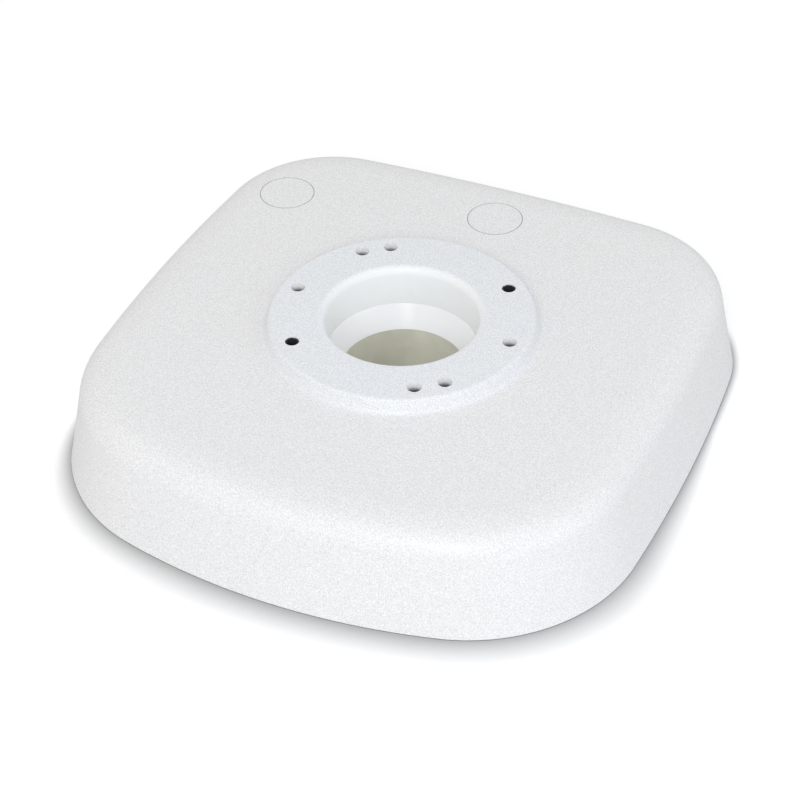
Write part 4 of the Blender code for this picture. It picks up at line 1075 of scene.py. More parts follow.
def make_base_fasteners():
    for kind, count, shank in (("cover", 8, 2.0 * MM), ("hub", 4, 1.6 * MM)):
        for i in range(1, count + 1):
            node = f"{kind}_screw_{i}"
            low, high = low_high(node)
            head_top = PLATE_LOW_Z - 0.3 * MM
            screw = screw_mesh(outer_radius(node), head_top - low.z, shank, high.z - head_top, 0.7 * MM)
            place = centre(node)
            stand_in(node, aimed(screw, (place.x, place.y, head_top), DOWN), "stainless")
    for i in range(1, 5):
        make_insert(f"base_insert_{i}")


def make_insert(node):
    """A brass insert, open below, with its thread cut as rings."""
    low, high = low_high(node)
    radius, bore = outer_radius(node), 4.25 * MM
    root, pitch = bore + 0.6 * MM, 1.25 * MM
    profile = [
        (0.0, high.z), (radius - 0.4 * MM, high.z), (radius, high.z - 0.4 * MM), (radius, low.z + 0.3 * MM),
        (radius - 0.3 * MM, low.z), (bore + 0.9 * MM, low.z), (bore + 0.5 * MM, low.z + 0.6 * MM),
    ]
    z = low.z + 1.1 * MM
    while z < high.z - 2.6 * MM:
        profile += [(bore, z), (bore, z + 0.2 * MM), (root, z + 0.7 * MM), (root, z + 0.85 * MM)]
        z += pitch
    profile += [(bore - 0.1 * MM, high.z - 1.6 * MM), (0.0, high.z - 1.2 * MM)]
    turned_stand_in(node, profile, "brass", 48)


# ---------------------------------------------------------------- bearing and seal

RACE_BORE = 51.3 * MM
RACE_INNER = 55.0 * MM
RACE_OUTER = 61.0 * MM
RACE_RADIUS = 65.0 * MM
GROOVE_HALF_WIDTH = 2.0 * MM
BALL_RADIUS = 2.6 * MM
BALL_COUNT = 10


def torus_profile(circle_radius, middle_z, radius, sides):
    """A round ring section, listed outwards over the top."""
    points = []
    for i in range(sides):
        reach, rise = polar(radius, 90.0 - 360.0 * i / sides)
        points.append((circle_radius + reach, middle_z + rise))
    return points


def groove():
    """(height, depth) across a race's ball groove, from one edge to the other."""
    dips = ((-1.0, 0.0), (-0.8, 0.75), (-0.4, 1.1), (0.0, 1.2), (0.4, 1.1), (0.8, 0.75), (1.0, 0.0))
    return [(share * GROOVE_HALF_WIDTH, depth * MM) for share, depth in dips]


def make_bearing():
    low, high = low_high("collar_seal")
    seal_radius = (high.z - low.z) / 2
    seal_circle = outer_radius("collar_seal") - seal_radius
    seal = torus_profile(seal_circle, (low.z + high.z) / 2, seal_radius, 16)
    stand_in("collar_seal", turned_mesh("seal", seal), "rubber")
    make_races()
    make_balls()
    make_retainer()


def make_races():
    low, high = low_high("bearing_inner_race")
    middle = (low.z + high.z) / 2
    edge = 0.4 * MM
    inner_race = [
        (RACE_BORE, high.z - edge), (RACE_BORE + edge, high.z),
        (RACE_INNER - edge, high.z), (RACE_INNER, high.z - edge),
    ]
    inner_race += [(RACE_INNER - depth, middle - along) for along, depth in groove()]
    inner_race += [
        (RACE_INNER, low.z + edge), (RACE_INNER - edge, low.z),
        (RACE_BORE + edge, low.z), (RACE_BORE, low.z + edge),
    ]
    stand_in("bearing_inner_race", turned_mesh("inner_race", inner_race), "stainless")
    outer_race = [
        (RACE_OUTER + edge, high.z), (RACE_RADIUS - edge, high.z), (RACE_RADIUS, high.z - edge),
        (RACE_RADIUS, low.z + edge), (RACE_RADIUS - edge, low.z),
        (RACE_OUTER + edge, low.z), (RACE_OUTER, low.z + edge),
    ]
    outer_race += [(RACE_OUTER + depth, middle + along) for along, depth in groove()]
    outer_race += [(RACE_OUTER, high.z - edge)]
    stand_in("bearing_outer_race", turned_mesh("outer_race", outer_race), "stainless")


def make_balls():
    """The cage's rail with its pockets, and the balls in them."""
    low, high = low_high("bearing_inner_race")
    middle = (low.z + high.z) / 2
    ball_circle, half = (RACE_INNER + RACE_OUTER) / 2, 1.9 * MM
    rail = ring_profile(ball_circle - MM, ball_circle + MM, middle - half, middle + half)
    balls = bmesh.new()
    pockets = bmesh.new()
    for i in range(BALL_COUNT):
        place = Matrix.Translation((*polar(ball_circle, 360.0 * (i + 0.5) / BALL_COUNT), middle))
        bmesh.ops.create_icosphere(balls, subdivisions=3, radius=BALL_RADIUS, matrix=place)
        bmesh.ops.create_icosphere(pockets, subdivisions=3, radius=BALL_RADIUS + 0.08 * MM, matrix=place)
    stand_in(
        "bearing_ball_cage", turned_mesh("cage", rounded_profile(rail, 0.3 * MM)), "brass",
        cuts=[finish_mesh("pockets", pockets)],
    )
    balls = finish_mesh("balls", balls)
    detail("bearing_balls", balls, "stainless", "bearing_ball_cage", sharp_degrees=80.0)


def make_retainer():
    low, high = low_high("bearing_retainer")
    radius = outer_radius("bearing_retainer")
    profile = rounded_profile(ring_profile(RACE_BORE, radius, low.z, high.z), 0.4 * MM, 2)
    notches = boxes_round(
        (radius - 1.6 * MM, -2 * MM, high.z - 1.3 * MM), (radius + MM, 2 * MM, high.z + MM),
        (0.0, 90.0, 180.0, 270.0),
    )
    stand_in("bearing_retainer", turned_mesh("retainer", profile), "turned_aluminium", cuts=[notches])


# ---------------------------------------------------------------- turntable, pulleys and belt

TURNTABLE_TEETH = 150
MOTOR_TEETH = 22
PULLEY_FLANGE = 2.0 * MM
SKIRT_RADIUS = 69.4 * MM
TURNTABLE_BORE = 65.3 * MM
SLIP_RING_BORE = 60.0 * MM
MOTOR_SHAFT_BORE = 2.8 * MM
LIGHTENING_CIRCLE = 79.0 * MM
LIGHTENING_ANGLES = (-22, -4, 14, 166, 184, 222, 262, 278)


def make_turntable():
    """The turning plate with its skirt, and what it carries besides the array."""
    low, high = low_high("turntable")
    radius = outer_radius("turntable")
    web_low = high.z - 4 * MM
    rim_low = web_low + MM
    profile = rounded_profile([
        (TURNTABLE_BORE, high.z), (radius, high.z), (radius, web_low), (radius - 4 * MM, web_low),
        (radius - 5 * MM, rim_low), (SKIRT_RADIUS + 3 * MM, rim_low), (SKIRT_RADIUS, web_low - 1.5 * MM),
        (SKIRT_RADIUS, low.z), (TURNTABLE_BORE, low.z),
    ], 0.5 * MM, 3)
    holes = [(*polar(LIGHTENING_CIRCLE, angle), 5.5 * MM) for angle in LIGHTENING_ANGLES]
    lightening = rods_mesh(holes, web_low - MM, high.z + MM, 40)
    plate = turned_mesh("turntable", profile)
    stand_in("turntable", plate, "cast_aluminium", cuts=[lightening], bevel=0.2 * MM)
    low, high = low_high("turntable_pulley")
    radius = outer_radius("turntable_pulley") - PULLEY_FLANGE
    bore = SKIRT_RADIUS + 0.3 * MM
    pulley = toothed_pulley("turntable_pulley", bore, radius, TURNTABLE_TEETH, low.z, high.z)
    stand_in("turntable_pulley", pulley, "black_plastic")
    make_slip_ring()
    make_counterweight()
    low, high = low_high("home_magnet")
    disc = rounded_profile(disc_profile(outer_radius("home_magnet"), low.z, high.z), 0.3 * MM, 3, False)
    turned_stand_in("home_magnet", disc, "stainless")


def make_counterweight():
    low, high = low_high("counterweight")
    block = prism("counterweight", sector(67 * MM, 90 * MM, 40.0, 140.0, 48), low.z, high.z)
    recess = prism("recess", sector(72 * MM, 85 * MM, 62.0, 118.0, 32), high.z - 2 * MM, high.z + MM)
    stand_in("counterweight", block, "cast_iron", cuts=[recess], bevel=0.8 * MM)
    bolts = [(*polar(78.5 * MM, angle), high.z) for angle in (51.0, 129.0)]
    add_screws("counterweight_screws", bolts, UP, "counterweight", 4.2 * MM, 2.6 * MM, 3 * MM)


def make_slip_ring():
    """An insulating ring with three metal tracks on its underside, and the brushes under them."""
    low, high = low_high("slip_ring")
    radius = outer_radius("slip_ring")
    body = rounded_profile(ring_profile(SLIP_RING_BORE, radius, low.z + 0.2 * MM, high.z), 0.3 * MM, 2)
    stand_in("slip_ring", turned_mesh("slip_ring", body), "grey_plastic")
    tracks = []
    for i in range(3):
        inner = SLIP_RING_BORE + (0.5 + 1.5 * i) * MM
        track = ring_profile(inner, inner + MM, low.z, low.z + 0.5 * MM)
        tracks.append(turned_mesh("track", rounded_profile(track, 0.1 * MM, 1)))
    detail("slip_ring_tracks", merge_meshes(tracks), "brass", "slip_ring")
    low, high = low_high("brush_block")
    block = prism("brush_block", sector(62.6 * MM, 70 * MM, 235.0, 265.0, 16), low.z, high.z - 1.2 * MM)
    stand_in("brush_block", block, "black_plastic", bevel=0.4 * MM)
    fingers = []
    for reach in (SLIP_RING_BORE + 2.5 * MM, SLIP_RING_BORE + 4.0 * MM):
        fingers.append(boxes_round(
            (reach - 0.4 * MM, -0.6 * MM, high.z - 1.6 * MM), (reach + 0.4 * MM, 0.6 * MM, high.z + 0.1 * MM),
            (241.0, 247.0, 253.0, 259.0),
        ))
    detail("brushes", merge_meshes(fingers), "copper", "brush_block")


def belt_ring(extra, z, tooth=0.0):
    """Points round both pulleys at extra outside their working radius; a tooth pulls pairs inwards."""
    motor = centre("motor_pulley")
    span = Vector((motor.x, motor.y))
    large = outer_radius("turntable_pulley") - PULLEY_FLANGE
    small = outer_radius("motor_pulley") - PULLEY_FLANGE
    lean = math.acos((large - small) / span.length)
    heading = math.atan2(span.y, span.x)
    straight = math.sqrt(span.length ** 2 - (large - small) ** 2)
    lengths = (small * 2 * lean, straight, large * (2 * math.pi - 2 * lean), straight)
    total = sum(lengths)
    count = 4 * round(total / (2 * math.pi * large / TURNTABLE_TEETH))
    points = []
    for i in range(count):
        along = total * i / count
        part = 0
        while along > lengths[part]:
            along -= lengths[part]
            part += 1
        if part == 0:
            angle, middle, radius = heading - lean + along / small, span, small
        elif part == 2:
            angle, middle, radius = heading + lean + along / large, Vector((0.0, 0.0)), large
        else:
            angle = heading + lean if part == 1 else heading - lean
            share = along / straight
            middle = span * (1.0 - share if part == 1 else share)
            radius = small + (large - small) * (share if part == 1 else 1.0 - share)
        reach = radius + extra - (tooth if i % 4 < 2 else 0.0)
        points.append((middle.x + reach * math.cos(angle), middle.y + reach * math.sin(angle), z))
    return points


def make_belt_drive():
    low, high = low_high("drive_belt")
    back, face, tooth, edge = 2.1 * MM, 0.8 * MM, 0.6 * MM, 0.15 * MM
    stand_in("drive_belt", skin("belt", [
        belt_ring(back - edge, low.z), belt_ring(back, low.z + edge), belt_ring(back, high.z - edge),
        belt_ring(back - edge, high.z), belt_ring(face, high.z, tooth), belt_ring(face, low.z, tooth),
    ]), "rubber")
    place = centre("motor_pulley")
    low, high = low_high("motor_pulley")
    radius = outer_radius("motor_pulley") - PULLEY_FLANGE
    stand_in("motor_pulley", toothed_pulley(
        "motor_pulley", MOTOR_SHAFT_BORE, radius, MOTOR_TEETH, low.z, high.z, place.x, place.y,
    ), "turned_aluminium")
    low, high = low_high("motor_shaft")
    radius = outer_radius("motor_shaft")
    rod = rounded_profile(disc_profile(radius, low.z, high.z), 0.4 * MM, 2, False)
    flat = box_mesh(
        (place.x + 0.8 * radius, place.y - 4 * MM, low.z - MM),
        (place.x + 4 * MM, place.y + 4 * MM, low.z + 6 * MM),
    )
    stand_in("motor_shaft", turned_mesh("shaft", rod, place.x, place.y, 32), "stainless", cuts=[flat])
    make_motor(place)
    make_motor_bracket(place)


def make_motor(place):
    """A can with a ribbed stack between a mounting face and a domed rear cap."""
    low, high = low_high("drive_motor")
    radius = outer_radius("drive_motor")
    socket_top = low.z + 6.5 * MM
    stack, root = radius - 0.4 * MM, radius - MM
    profile = [
        (0.0, high.z), (6 * MM, high.z), (6.6 * MM, high.z - 0.8 * MM), (radius - 5 * MM, high.z - 1.4 * MM),
        (radius - 1.2 * MM, high.z - 3 * MM), (stack, high.z - 4.4 * MM),
    ]
    z = high.z - 6 * MM
    while z > low.z + 6 * MM:
        profile += [(stack, z), (root, z - 0.3 * MM), (root, z - 0.9 * MM), (stack, z - 1.2 * MM)]
        z -= 2.2 * MM
    profile += [
        (stack, low.z + 4.4 * MM), (radius, low.z + 4 * MM), (radius, low.z + 0.4 * MM), (stack, low.z),
        (MOTOR_SHAFT_BORE, low.z), (MOTOR_SHAFT_BORE, socket_top), (0.0, socket_top),
    ]
    slots = boxes_round(
        (9 * MM, -1.1 * MM, high.z - 2.4 * MM), (15 * MM, 1.1 * MM, high.z + MM),
        [45.0 * i for i in range(8)], (place.x, place.y, 0.0),
    )
    can = turned_mesh("motor", profile, place.x, place.y, 72)
    stand_in("drive_motor", can, "black_plastic", cuts=[slots])
    band = ring_profile(radius - 1.5 * MM, radius - 0.1 * MM, low.z + 0.9 * MM, low.z + 3.4 * MM)
    band = turned_mesh("band", rounded_profile(band, 0.2 * MM, 2), place.x, place.y, 72)
    detail("motor_face_ring", band, "turned_aluminium", "drive_motor")


def make_motor_bracket(place):
    """A folded bracket: the motor stands on its plate, and its foot is screwed to the base."""
    half, thickness = 24 * MM, 3 * MM
    low, high = low_high("motor_bracket")
    plate_low = high.z - thickness
    inner = half - thickness
    plate = box_mesh((-half, -half, plate_low), (half, half, high.z))
    leg = box_mesh((inner, -half, low.z), (half, half, plate_low + MM))
    foot = box_mesh((inner - MM, -half, low.z), (half + 7 * MM, half, low.z + thickness))
    gussets = boxes_mesh([
        ((half - 9 * MM, y - MM, plate_low - 5 * MM), (half - MM, y + MM, plate_low + MM))
        for y in (-21 * MM, 21 * MM)
    ])
    screws = [(x, y) for x in (-15 * MM, 15 * MM) for y in (-15 * MM, 15 * MM)]
    hole = rods_mesh([(0.0, 0.0, 8 * MM)], high.z - 5 * MM, high.z + MM, 48)
    slots = rods_mesh([(x, y, 1.9 * MM) for x, y in screws], high.z - 5 * MM, high.z + MM, 24)
    window = box_mesh((half - 5 * MM, -9 * MM, low.z + 5 * MM), (half + 2 * MM, 9 * MM, high.z - 5 * MM))
    base = Vector((place.x, place.y, 0.0))
    turn = math.degrees(math.atan2(place.y, place.x))
    stand_in(
        "motor_bracket", moved(plate, base, turn), "sheet", bevel=0.4 * MM,
        joins=[moved(leg, base, turn), moved(foot, base, turn), moved(gussets, base, turn)],
        cuts=[moved(hole, base, turn), moved(slots, base, turn), moved(window, base, turn)],
    )
    turning = Matrix.Rotation(math.radians(turn), 4, "Z")
    foot_z = low.z + thickness
    feet = [base + turning @ Vector((half + 3.2 * MM, y, foot_z)) for y in (-16 * MM, 16 * MM)]
    add_screws("motor_bracket_screws", feet, UP, "motor_bracket", 2.8 * MM, 1.8 * MM, 2 * MM)
    under = [base + turning @ Vector((x, y, plate_low)) for x, y in screws]
    add_screws("motor_screws", under, DOWN, "motor_bracket", 2.6 * MM, 1.4 * MM, 2 * MM)


# ---------------------------------------------------------------- antenna array


def make_array():
    """A tray with a slotted back, the patch board in its mouth, and the radio module behind it."""
    low, high = low_high("reflector_tray")
    wall = 2 * MM
    hollow = box_mesh((low.x + wall, low.y - MM, low.z + wall), (high.x - wall, high.y - wall, high.z - wall))
    slots = boxes_mesh([
        ((x - 9 * MM, high.y - 5 * MM, 44 * MM), (x + 9 * MM, high.y + MM, 50 * MM))
        for x in (-150 * MM, -120 * MM, -90 * MM, 90 * MM, 120 * MM, 150 * MM)
    ])
    stand_in("reflector_tray", box_mesh(low, high), "sheet", cuts=[hollow, slots], bevel=0.6 * MM)
    ribs = boxes_mesh([
        (
            (x - 1.2 * MM, high.y - 0.2 * MM, low.z + 4 * MM),
            (x + 1.2 * MM, high.y + 0.9 * MM, high.z - 4 * MM),
        )
        for x in (-135 * MM, -105 * MM, 105 * MM, 135 * MM)
    ])
    detail("tray_ribs", ribs, "sheet", "reflector_tray", bevel=0.4 * MM)
    ends = [(x, high.y, z * MM) for x in (-162 * MM, 162 * MM) for z in (36, 47, 58)]
    add_screws("tray_screws", ends, BACKWARDS, "reflector_tray", 1.9 * MM, 1.1 * MM, MM)
    make_patches()
    make_radio_module()
    make_brackets()


def make_patches():
    """Two rows of copper patches, each fed from a line along the board's middle."""
    low, high = low_high("patch_board")
    stand_in("patch_board", box_mesh(low, high), "laminate", bevel=0.15 * MM)
    back, front = low.y, low.y - 0.18 * MM
    columns, pitch, half_patch, half_track = 16, 19.6 * MM, 5.5 * MM, 0.35 * MM
    upper_z, lower_z, line_z = 55.5 * MM, 38.5 * MM, 47 * MM
    line_low, line_high = line_z - 2 * half_track, line_z + 2 * half_track
    boxes = []
    for i in range(columns):
        x = (i - (columns - 1) / 2) * pitch
        for z in (lower_z, upper_z):
            boxes.append(((x - half_patch, front, z - half_patch), (x + half_patch, back, z + half_patch)))
        for near, far in ((lower_z + half_patch, line_low), (line_high, upper_z - half_patch)):
            boxes.append(((x - half_track, front, near), (x + half_track, back, far)))
    reach = (columns - 1) / 2 * pitch + half_track
    boxes.append(((-reach, front, line_low), (reach, back, line_high)))
    detail("copper_patches", boxes_mesh(boxes), "copper", "patch_board")
    pins = [(x * MM, back, z * MM) for x in (-157.5, -79, 0, 79, 157.5) for z in (34.6, 59.4)]
    add_screws("patch_board_screws", pins, FRONTWARDS, "patch_board", 1.4 * MM, 0.4 * MM, 0.6 * MM)


def make_radio_module():
    """A finned box with a screwed lid, two threaded sockets and the leads to them."""
    low, high = low_high("rf_module")
    slots = []
    count, pitch = 9, 3 * MM
    for i in range(count):
        z = (low.z + high.z) / 2 + (i - (count - 1) / 2) * pitch
        for near, far in ((low.x - MM, low.x + 3 * MM), (high.x - 3 * MM, high.x + MM)):
            slots.append(((near, low.y + 2 * MM, z - 0.75 * MM), (far, high.y - 2 * MM, z + 0.75 * MM)))
    stand_in("rf_module", box_mesh(low, high), "cast_aluminium", cuts=[boxes_mesh(slots)], bevel=0.6 * MM)
    low, high = low_high("rf_module_lid")
    grooves = boxes_mesh([
        ((low.x + 6 * MM, high.y - 0.4 * MM, z), (high.x - 6 * MM, high.y + MM, z + 0.8 * MM))
        for z in (51 * MM, 53 * MM, 55 * MM)
    ])
    stand_in("rf_module_lid", box_mesh(low, high), "sheet", bevel=0.4 * MM, cuts=[grooves])
    margin = 3.2 * MM
    edge = [
        (x, high.y, z)
        for x in (low.x + margin, low.x / 2, 0.0, high.x / 2, high.x - margin)
        for z in (low.z + margin, high.z - margin)
    ]
    add_screws("module_lid_screws", edge, BACKWARDS, "rf_module_lid", 1.7 * MM, MM, MM)
    socket_z = 39.5 * MM
    barrels = [
        aimed(threaded_barrel(), (x, high.y, socket_z), BACKWARDS) for x in (-16 * MM, 16 * MM)
    ]
    detail("module_connectors", merge_meshes(barrels), "brass", "rf_module_lid")
    leads = []
    for side in (-1, 1):
        run = rounded_run([
            (side * 16 * MM, high.y + 4 * MM, socket_z), (side * 16 * MM, high.y + 8.5 * MM, socket_z),
            (side * 30 * MM, high.y + 8.5 * MM, 34 * MM), (side * 34 * MM, high.y + 8 * MM, 27.6 * MM),
        ], 3 * MM)
        leads.append(tube_mesh(run, 1.1 * MM))
    detail("module_leads", merge_meshes(leads), "black_plastic", "rf_module_lid")


def threaded_barrel():
    thread, root, base = 3 * MM, 2.7 * MM, 3.4 * MM
    profile = [
        (0.0, 5 * MM), (1.2 * MM, 5 * MM), (1.2 * MM, 4.6 * MM), (2.6 * MM, 4.6 * MM), (thread, 4.2 * MM),
    ]
    for i in range(5):
        z = (3.9 - 0.55 * i) * MM
        profile += [(thread, z), (root, z - 0.25 * MM)]
    profile += [(2.8 * MM, 1.2 * MM), (base, 1.2 * MM), (base, 0.0), (0.0, 0.0)]
    return turned_mesh("barrel", profile, steps=32)


def make_brackets():
    """Folded angle brackets with a gusset, screwed to the turntable and to the tray."""
    thickness, reach, fold = 2 * MM, 20 * MM, 2.6 * MM
    for side in ("left", "right"):
        node = f"array_bracket_{side}"
        low, high = low_high(node)
        foot = box_mesh(low, (high.x, high.y, low.z + thickness))
        upright = box_mesh(low, (high.x, low.y + thickness, high.z))
        middle = (low.x + high.x) / 2
        gusset = extruded("gusset", [
            (middle - 0.8 * MM, low.y + y, low.z + z)
            for y, z in ((MM, MM), (reach, MM), (reach, fold), (fold, reach), (MM, reach))
        ], (1.6 * MM, 0.0, 0.0))
        stand_in(node, upright, "sheet", joins=[foot, gusset], bevel=0.4 * MM)
        across = (middle - 6.5 * MM, middle + 6.5 * MM)
        feet = [(x, high.y - 5 * MM, low.z + thickness) for x in across]
        add_screws(f"{node}_foot_screws", feet, UP, node, 2.8 * MM, 1.8 * MM, 2 * MM)
        back = [(x, low.y + thickness, high.z - 5 * MM) for x in across]
        add_screws(f"{node}_tray_screws", back, BACKWARDS, node, 2.4 * MM, 1.5 * MM, 2 * MM)


# ---------------------------------------------------------------- circuit boards


def board_point(board, x, y):
    low = low_high(board)[0]
    return low.x + x * MM, low.y + y * MM


def chip_boxes(x, y, width, depth, height, base_z):
    return (x - width / 2, y - depth / 2, base_z + 0.15 * MM), (x + width / 2, y + depth / 2, base_z + height)


def lead_boxes(x, y, width, depth, pitch, base_z):
    """Gull-wing leads along all four sides of a flat package."""
    low_z, high_z = base_z + 0.02 * MM, base_z + 0.5 * MM
    boxes = []
    for span, half, across in ((width, depth / 2, False), (depth, width / 2, True)):
        count = int((span - 2 * MM) / pitch)
        for i in range(count):
            along = (i - (count - 1) / 2) * pitch
            for side in (-1, 1):
                near, far = sorted((side * (half - 0.2 * MM), side * (half + 1.1 * MM)))
                low, high = (along - pitch * 0.22, near), (along + pitch * 0.22, far)
                if across:
                    low, high = low[::-1], high[::-1]
                boxes.append(((x + low[0], y + low[1], low_z), (x + high[0], y + high[1], high_z)))
    return boxes


def overlaps(box, other):
    return box[0] < other[2] and box[2] > other[0] and box[1] < other[3] and box[3] > other[1]


def scatter_parts(board, keep_out, seed, count):
    """Places small two-ended parts on a board, on a 1 mm grid, clear of the larger ones."""
    maker = random.Random(seed)
    low, high = low_high(board)
    top, margin, gap = high.z, 4 * MM, 0.6 * MM
    bodies, ends, taken = [], [], list(keep_out)
    tries = 0
    while len(bodies) < count and tries < 5000:
        tries += 1
        x = round(maker.uniform(low.x + margin, high.x - margin) / MM) * MM
        y = round(maker.uniform(low.y + margin, high.y - margin) / MM) * MM
        long = maker.choice((0.8, 1.0, 1.6)) * MM
        wide, tall = long * 0.55, long * 0.5
        half_x, half_y = (long, wide) if maker.random() < 0.5 else (wide, long)
        box = (x - half_x - gap, y - half_y - gap, x + half_x + gap, y + half_y + gap)
        if any(overlaps(box, other) for other in taken):
            continue
        taken.append(box)
        trim_x, trim_y = (0.25 * half_x, 0.0) if half_x > half_y else (0.0, 0.25 * half_y)
        body_x, body_y, end_top = half_x - trim_x, half_y - trim_y, top + tall * 1.04
        bodies.append(((x - body_x, y - body_y, top), (x + body_x, y + body_y, top + tall)))
        for side in (-1, 1):
            if trim_x:
                near, far = sorted((side * body_x, side * half_x))
                ends.append(((x + near, y - half_y, top), (x + far, y + half_y, end_top)))
            else:
                near, far = sorted((side * body_y, side * half_y))
                ends.append(((x - half_x, y + near, top), (x + half_x, y + far, end_top)))
    detail(f"{board}_part_bodies", boxes_mesh(bodies), "grey_plastic", board)
    detail(f"{board}_part_ends", boxes_mesh(ends), "tin", board)


def block_area(low, high, margin=1.5 * MM):
    return (low[0] - margin, low[1] - margin, high[0] + margin, high[1] + margin)


def add_chips(board, chips, keep_out):
    """Flat packages with leads, given as (x, y, width, depth) in millimetres from the board's corner."""
    top = low_high(board)[1].z
    packages, leads = [], []
    for x, y, width, depth in chips:
        px, py = board_point(board, x, y)
        packages.append(chip_boxes(px, py, width * MM, depth * MM, 1.6 * MM, top))
        leads += lead_boxes(px, py, width * MM, depth * MM, 0.8 * MM, top)
        keep_out.append(block_area(*packages[-1], 2.5 * MM))
    detail(f"{board}_chips", boxes_mesh(packages), "black_plastic", board, bevel=0.2 * MM)
    detail(f"{board}_leads", boxes_mesh(leads), "tin", board)


def add_headers(board, headers, keep_out):
    """Shrouded pin headers, given as (x, y, number of pins, whether they run along X)."""
    pitch, half_pin = 2.5 * MM, 0.32 * MM
    base = low_high(board)[1].z
    top = base + 6 * MM
    pins = []
    for number, (x, y, ways, along_x) in enumerate(headers, 1):
        px, py = board_point(board, x, y)
        half_long, half_wide = ways * pitch / 2 + MM, 2.8 * MM
        half_x, half_y = (half_long, half_wide) if along_x else (half_wide, half_long)
        shell = box_mesh((px - half_x, py - half_y, base), (px + half_x, py + half_y, top))
        well_x, well_y = half_x - MM, half_y - MM
        well = box_mesh((px - well_x, py - well_y, base + 1.5 * MM), (px + well_x, py + well_y, top + MM))
        detail(f"{board}_header_{number}", shell, "white_plastic", board, cuts=[well], bevel=0.25 * MM)
        for i in range(ways):
            along = (i - (ways - 1) / 2) * pitch
            qx, qy = (px + along, py) if along_x else (px, py + along)
            pins.append((
                (qx - half_pin, qy - half_pin, base + 1.2 * MM), (qx + half_pin, qy + half_pin, top - MM)
            ))
        keep_out.append((px - half_x - MM, py - half_y - MM, px + half_x + MM, py + half_y + MM))
    detail(f"{board}_pins", boxes_mesh(pins), "brass", board)


def make_board(board, chips, headers, seed, keep_out):
    """A board with drilled corners, flat packages with leads, pin headers and small parts."""
    low, high = low_high(board)
    corners = board_corners(board)
    holes = rods_mesh([(x, y, 1.4 * MM) for x, y in corners], low.z - MM, high.z + MM, 24)
    stand_in(board, box_mesh(low, high), "solder_mask", cuts=[holes], bevel=0.15 * MM)
    clear = 4 * MM
    keep_out = keep_out + [(x - clear, y - clear, x + clear, y + clear) for x, y in corners]
    add_chips(board, chips, keep_out)
    add_headers(board, headers, keep_out)
    scatter_parts(board, keep_out, seed, 110)


def node_area(node):
    return block_area(*low_high(node))


def make_boards():
    make_board(
        "control_board",
        chips=((24, 24, 14, 14), (62, 22, 10, 10), (70, 112, 12, 12), (24, 118, 16, 16), (46, 116, 8, 6)),
        headers=((60, 5, 6, True), (60, 135, 5, True), (5, 60, 8, False), (30, 5, 3, True)),
        seed=11, keep_out=[node_area("processor_shield")],
    )
    make_board(
        "power_board",
        chips=((22, 62, 10, 10), (24, 88, 12, 8), (48, 94, 8, 8)),
        headers=((14, 5, 4, True), (74, 103, 4, True), (83, 52, 5, False)),
        seed=23,
        keep_out=[node_area(node) for node in ("heat_sink", "inductor", "capacitor_1", "capacitor_2")],
    )
    low, high = low_high("processor_shield")
    pits = []
    for i in range(8):
        for k in range(9):
            pits.append((low.x + (5 + 4.86 * i) * MM, low.y + (6 + 5 * k) * MM, 0.9 * MM))
    stand_in(
        "processor_shield", box_mesh(low, high), "sheet", bevel=0.6 * MM,
        cuts=[rods_mesh(pits, high.z - 0.8 * MM, high.z + MM, 12)],
    )
    make_heat_sink()
    make_capacitor("capacitor_1")
    make_capacitor("capacitor_2")
    make_inductor()


def make_heat_sink():
    low, high = low_high("heat_sink")
    base, fin, count = low.z + 2.7 * MM, 1.4 * MM, 11
    pitch = (high.x - low.x - fin) / count
    slots = []
    for i in range(count):
        x = low.x + fin + i * pitch
        slots.append(((x, low.y - MM, base), (x + pitch - fin, high.y + MM, high.z + MM)))
    stand_in("heat_sink", box_mesh(low, high), "black_plastic", cuts=[boxes_mesh(slots)], bevel=0.25 * MM)


def make_capacitor(node):
    """A can with a crossed vent in its top and a pale stripe down its sleeve."""
    low, high = low_high(node)
    place, radius = centre(node), (high.y - low.y) / 2
    neck = radius - 0.5 * MM
    profile = [
        (0.0, high.z - 0.3 * MM), (radius * 0.72, high.z - 0.3 * MM), (radius * 0.8, high.z),
        (radius - 0.4 * MM, high.z), (radius, high.z - 0.5 * MM), (radius, low.z + 3 * MM),
        (neck, low.z + 2.5 * MM), (neck, low.z + 2 * MM), (radius, low.z + 1.5 * MM),
        (radius, low.z + 0.3 * MM), (radius - 0.3 * MM, low.z), (0.0, low.z),
    ]
    vents = []
    for half_x, half_y in ((3 * MM, 0.2 * MM), (0.2 * MM, 3 * MM)):
        vents.append(box_mesh(
            (place.x - half_x, place.y - half_y, high.z - 0.5 * MM),
            (place.x + half_x, place.y + half_y, high.z + MM),
        ))
    stand_in(node, turned_mesh(node, profile, place.x, place.y, 48), "grey_plastic", cuts=vents)
    angles = range(-30, 31, 6)
    outside = [polar(radius + 0.02 * MM, angle) for angle in angles]
    inside = [polar(radius - 0.6 * MM, angle) for angle in reversed(angles)]
    stripe = [(place.x + x, place.y + y) for x, y in outside + inside]
    detail(f"{node}_stripe", prism("stripe", stripe, low.z + 3.4 * MM, high.z - MM), "white_plastic", node)


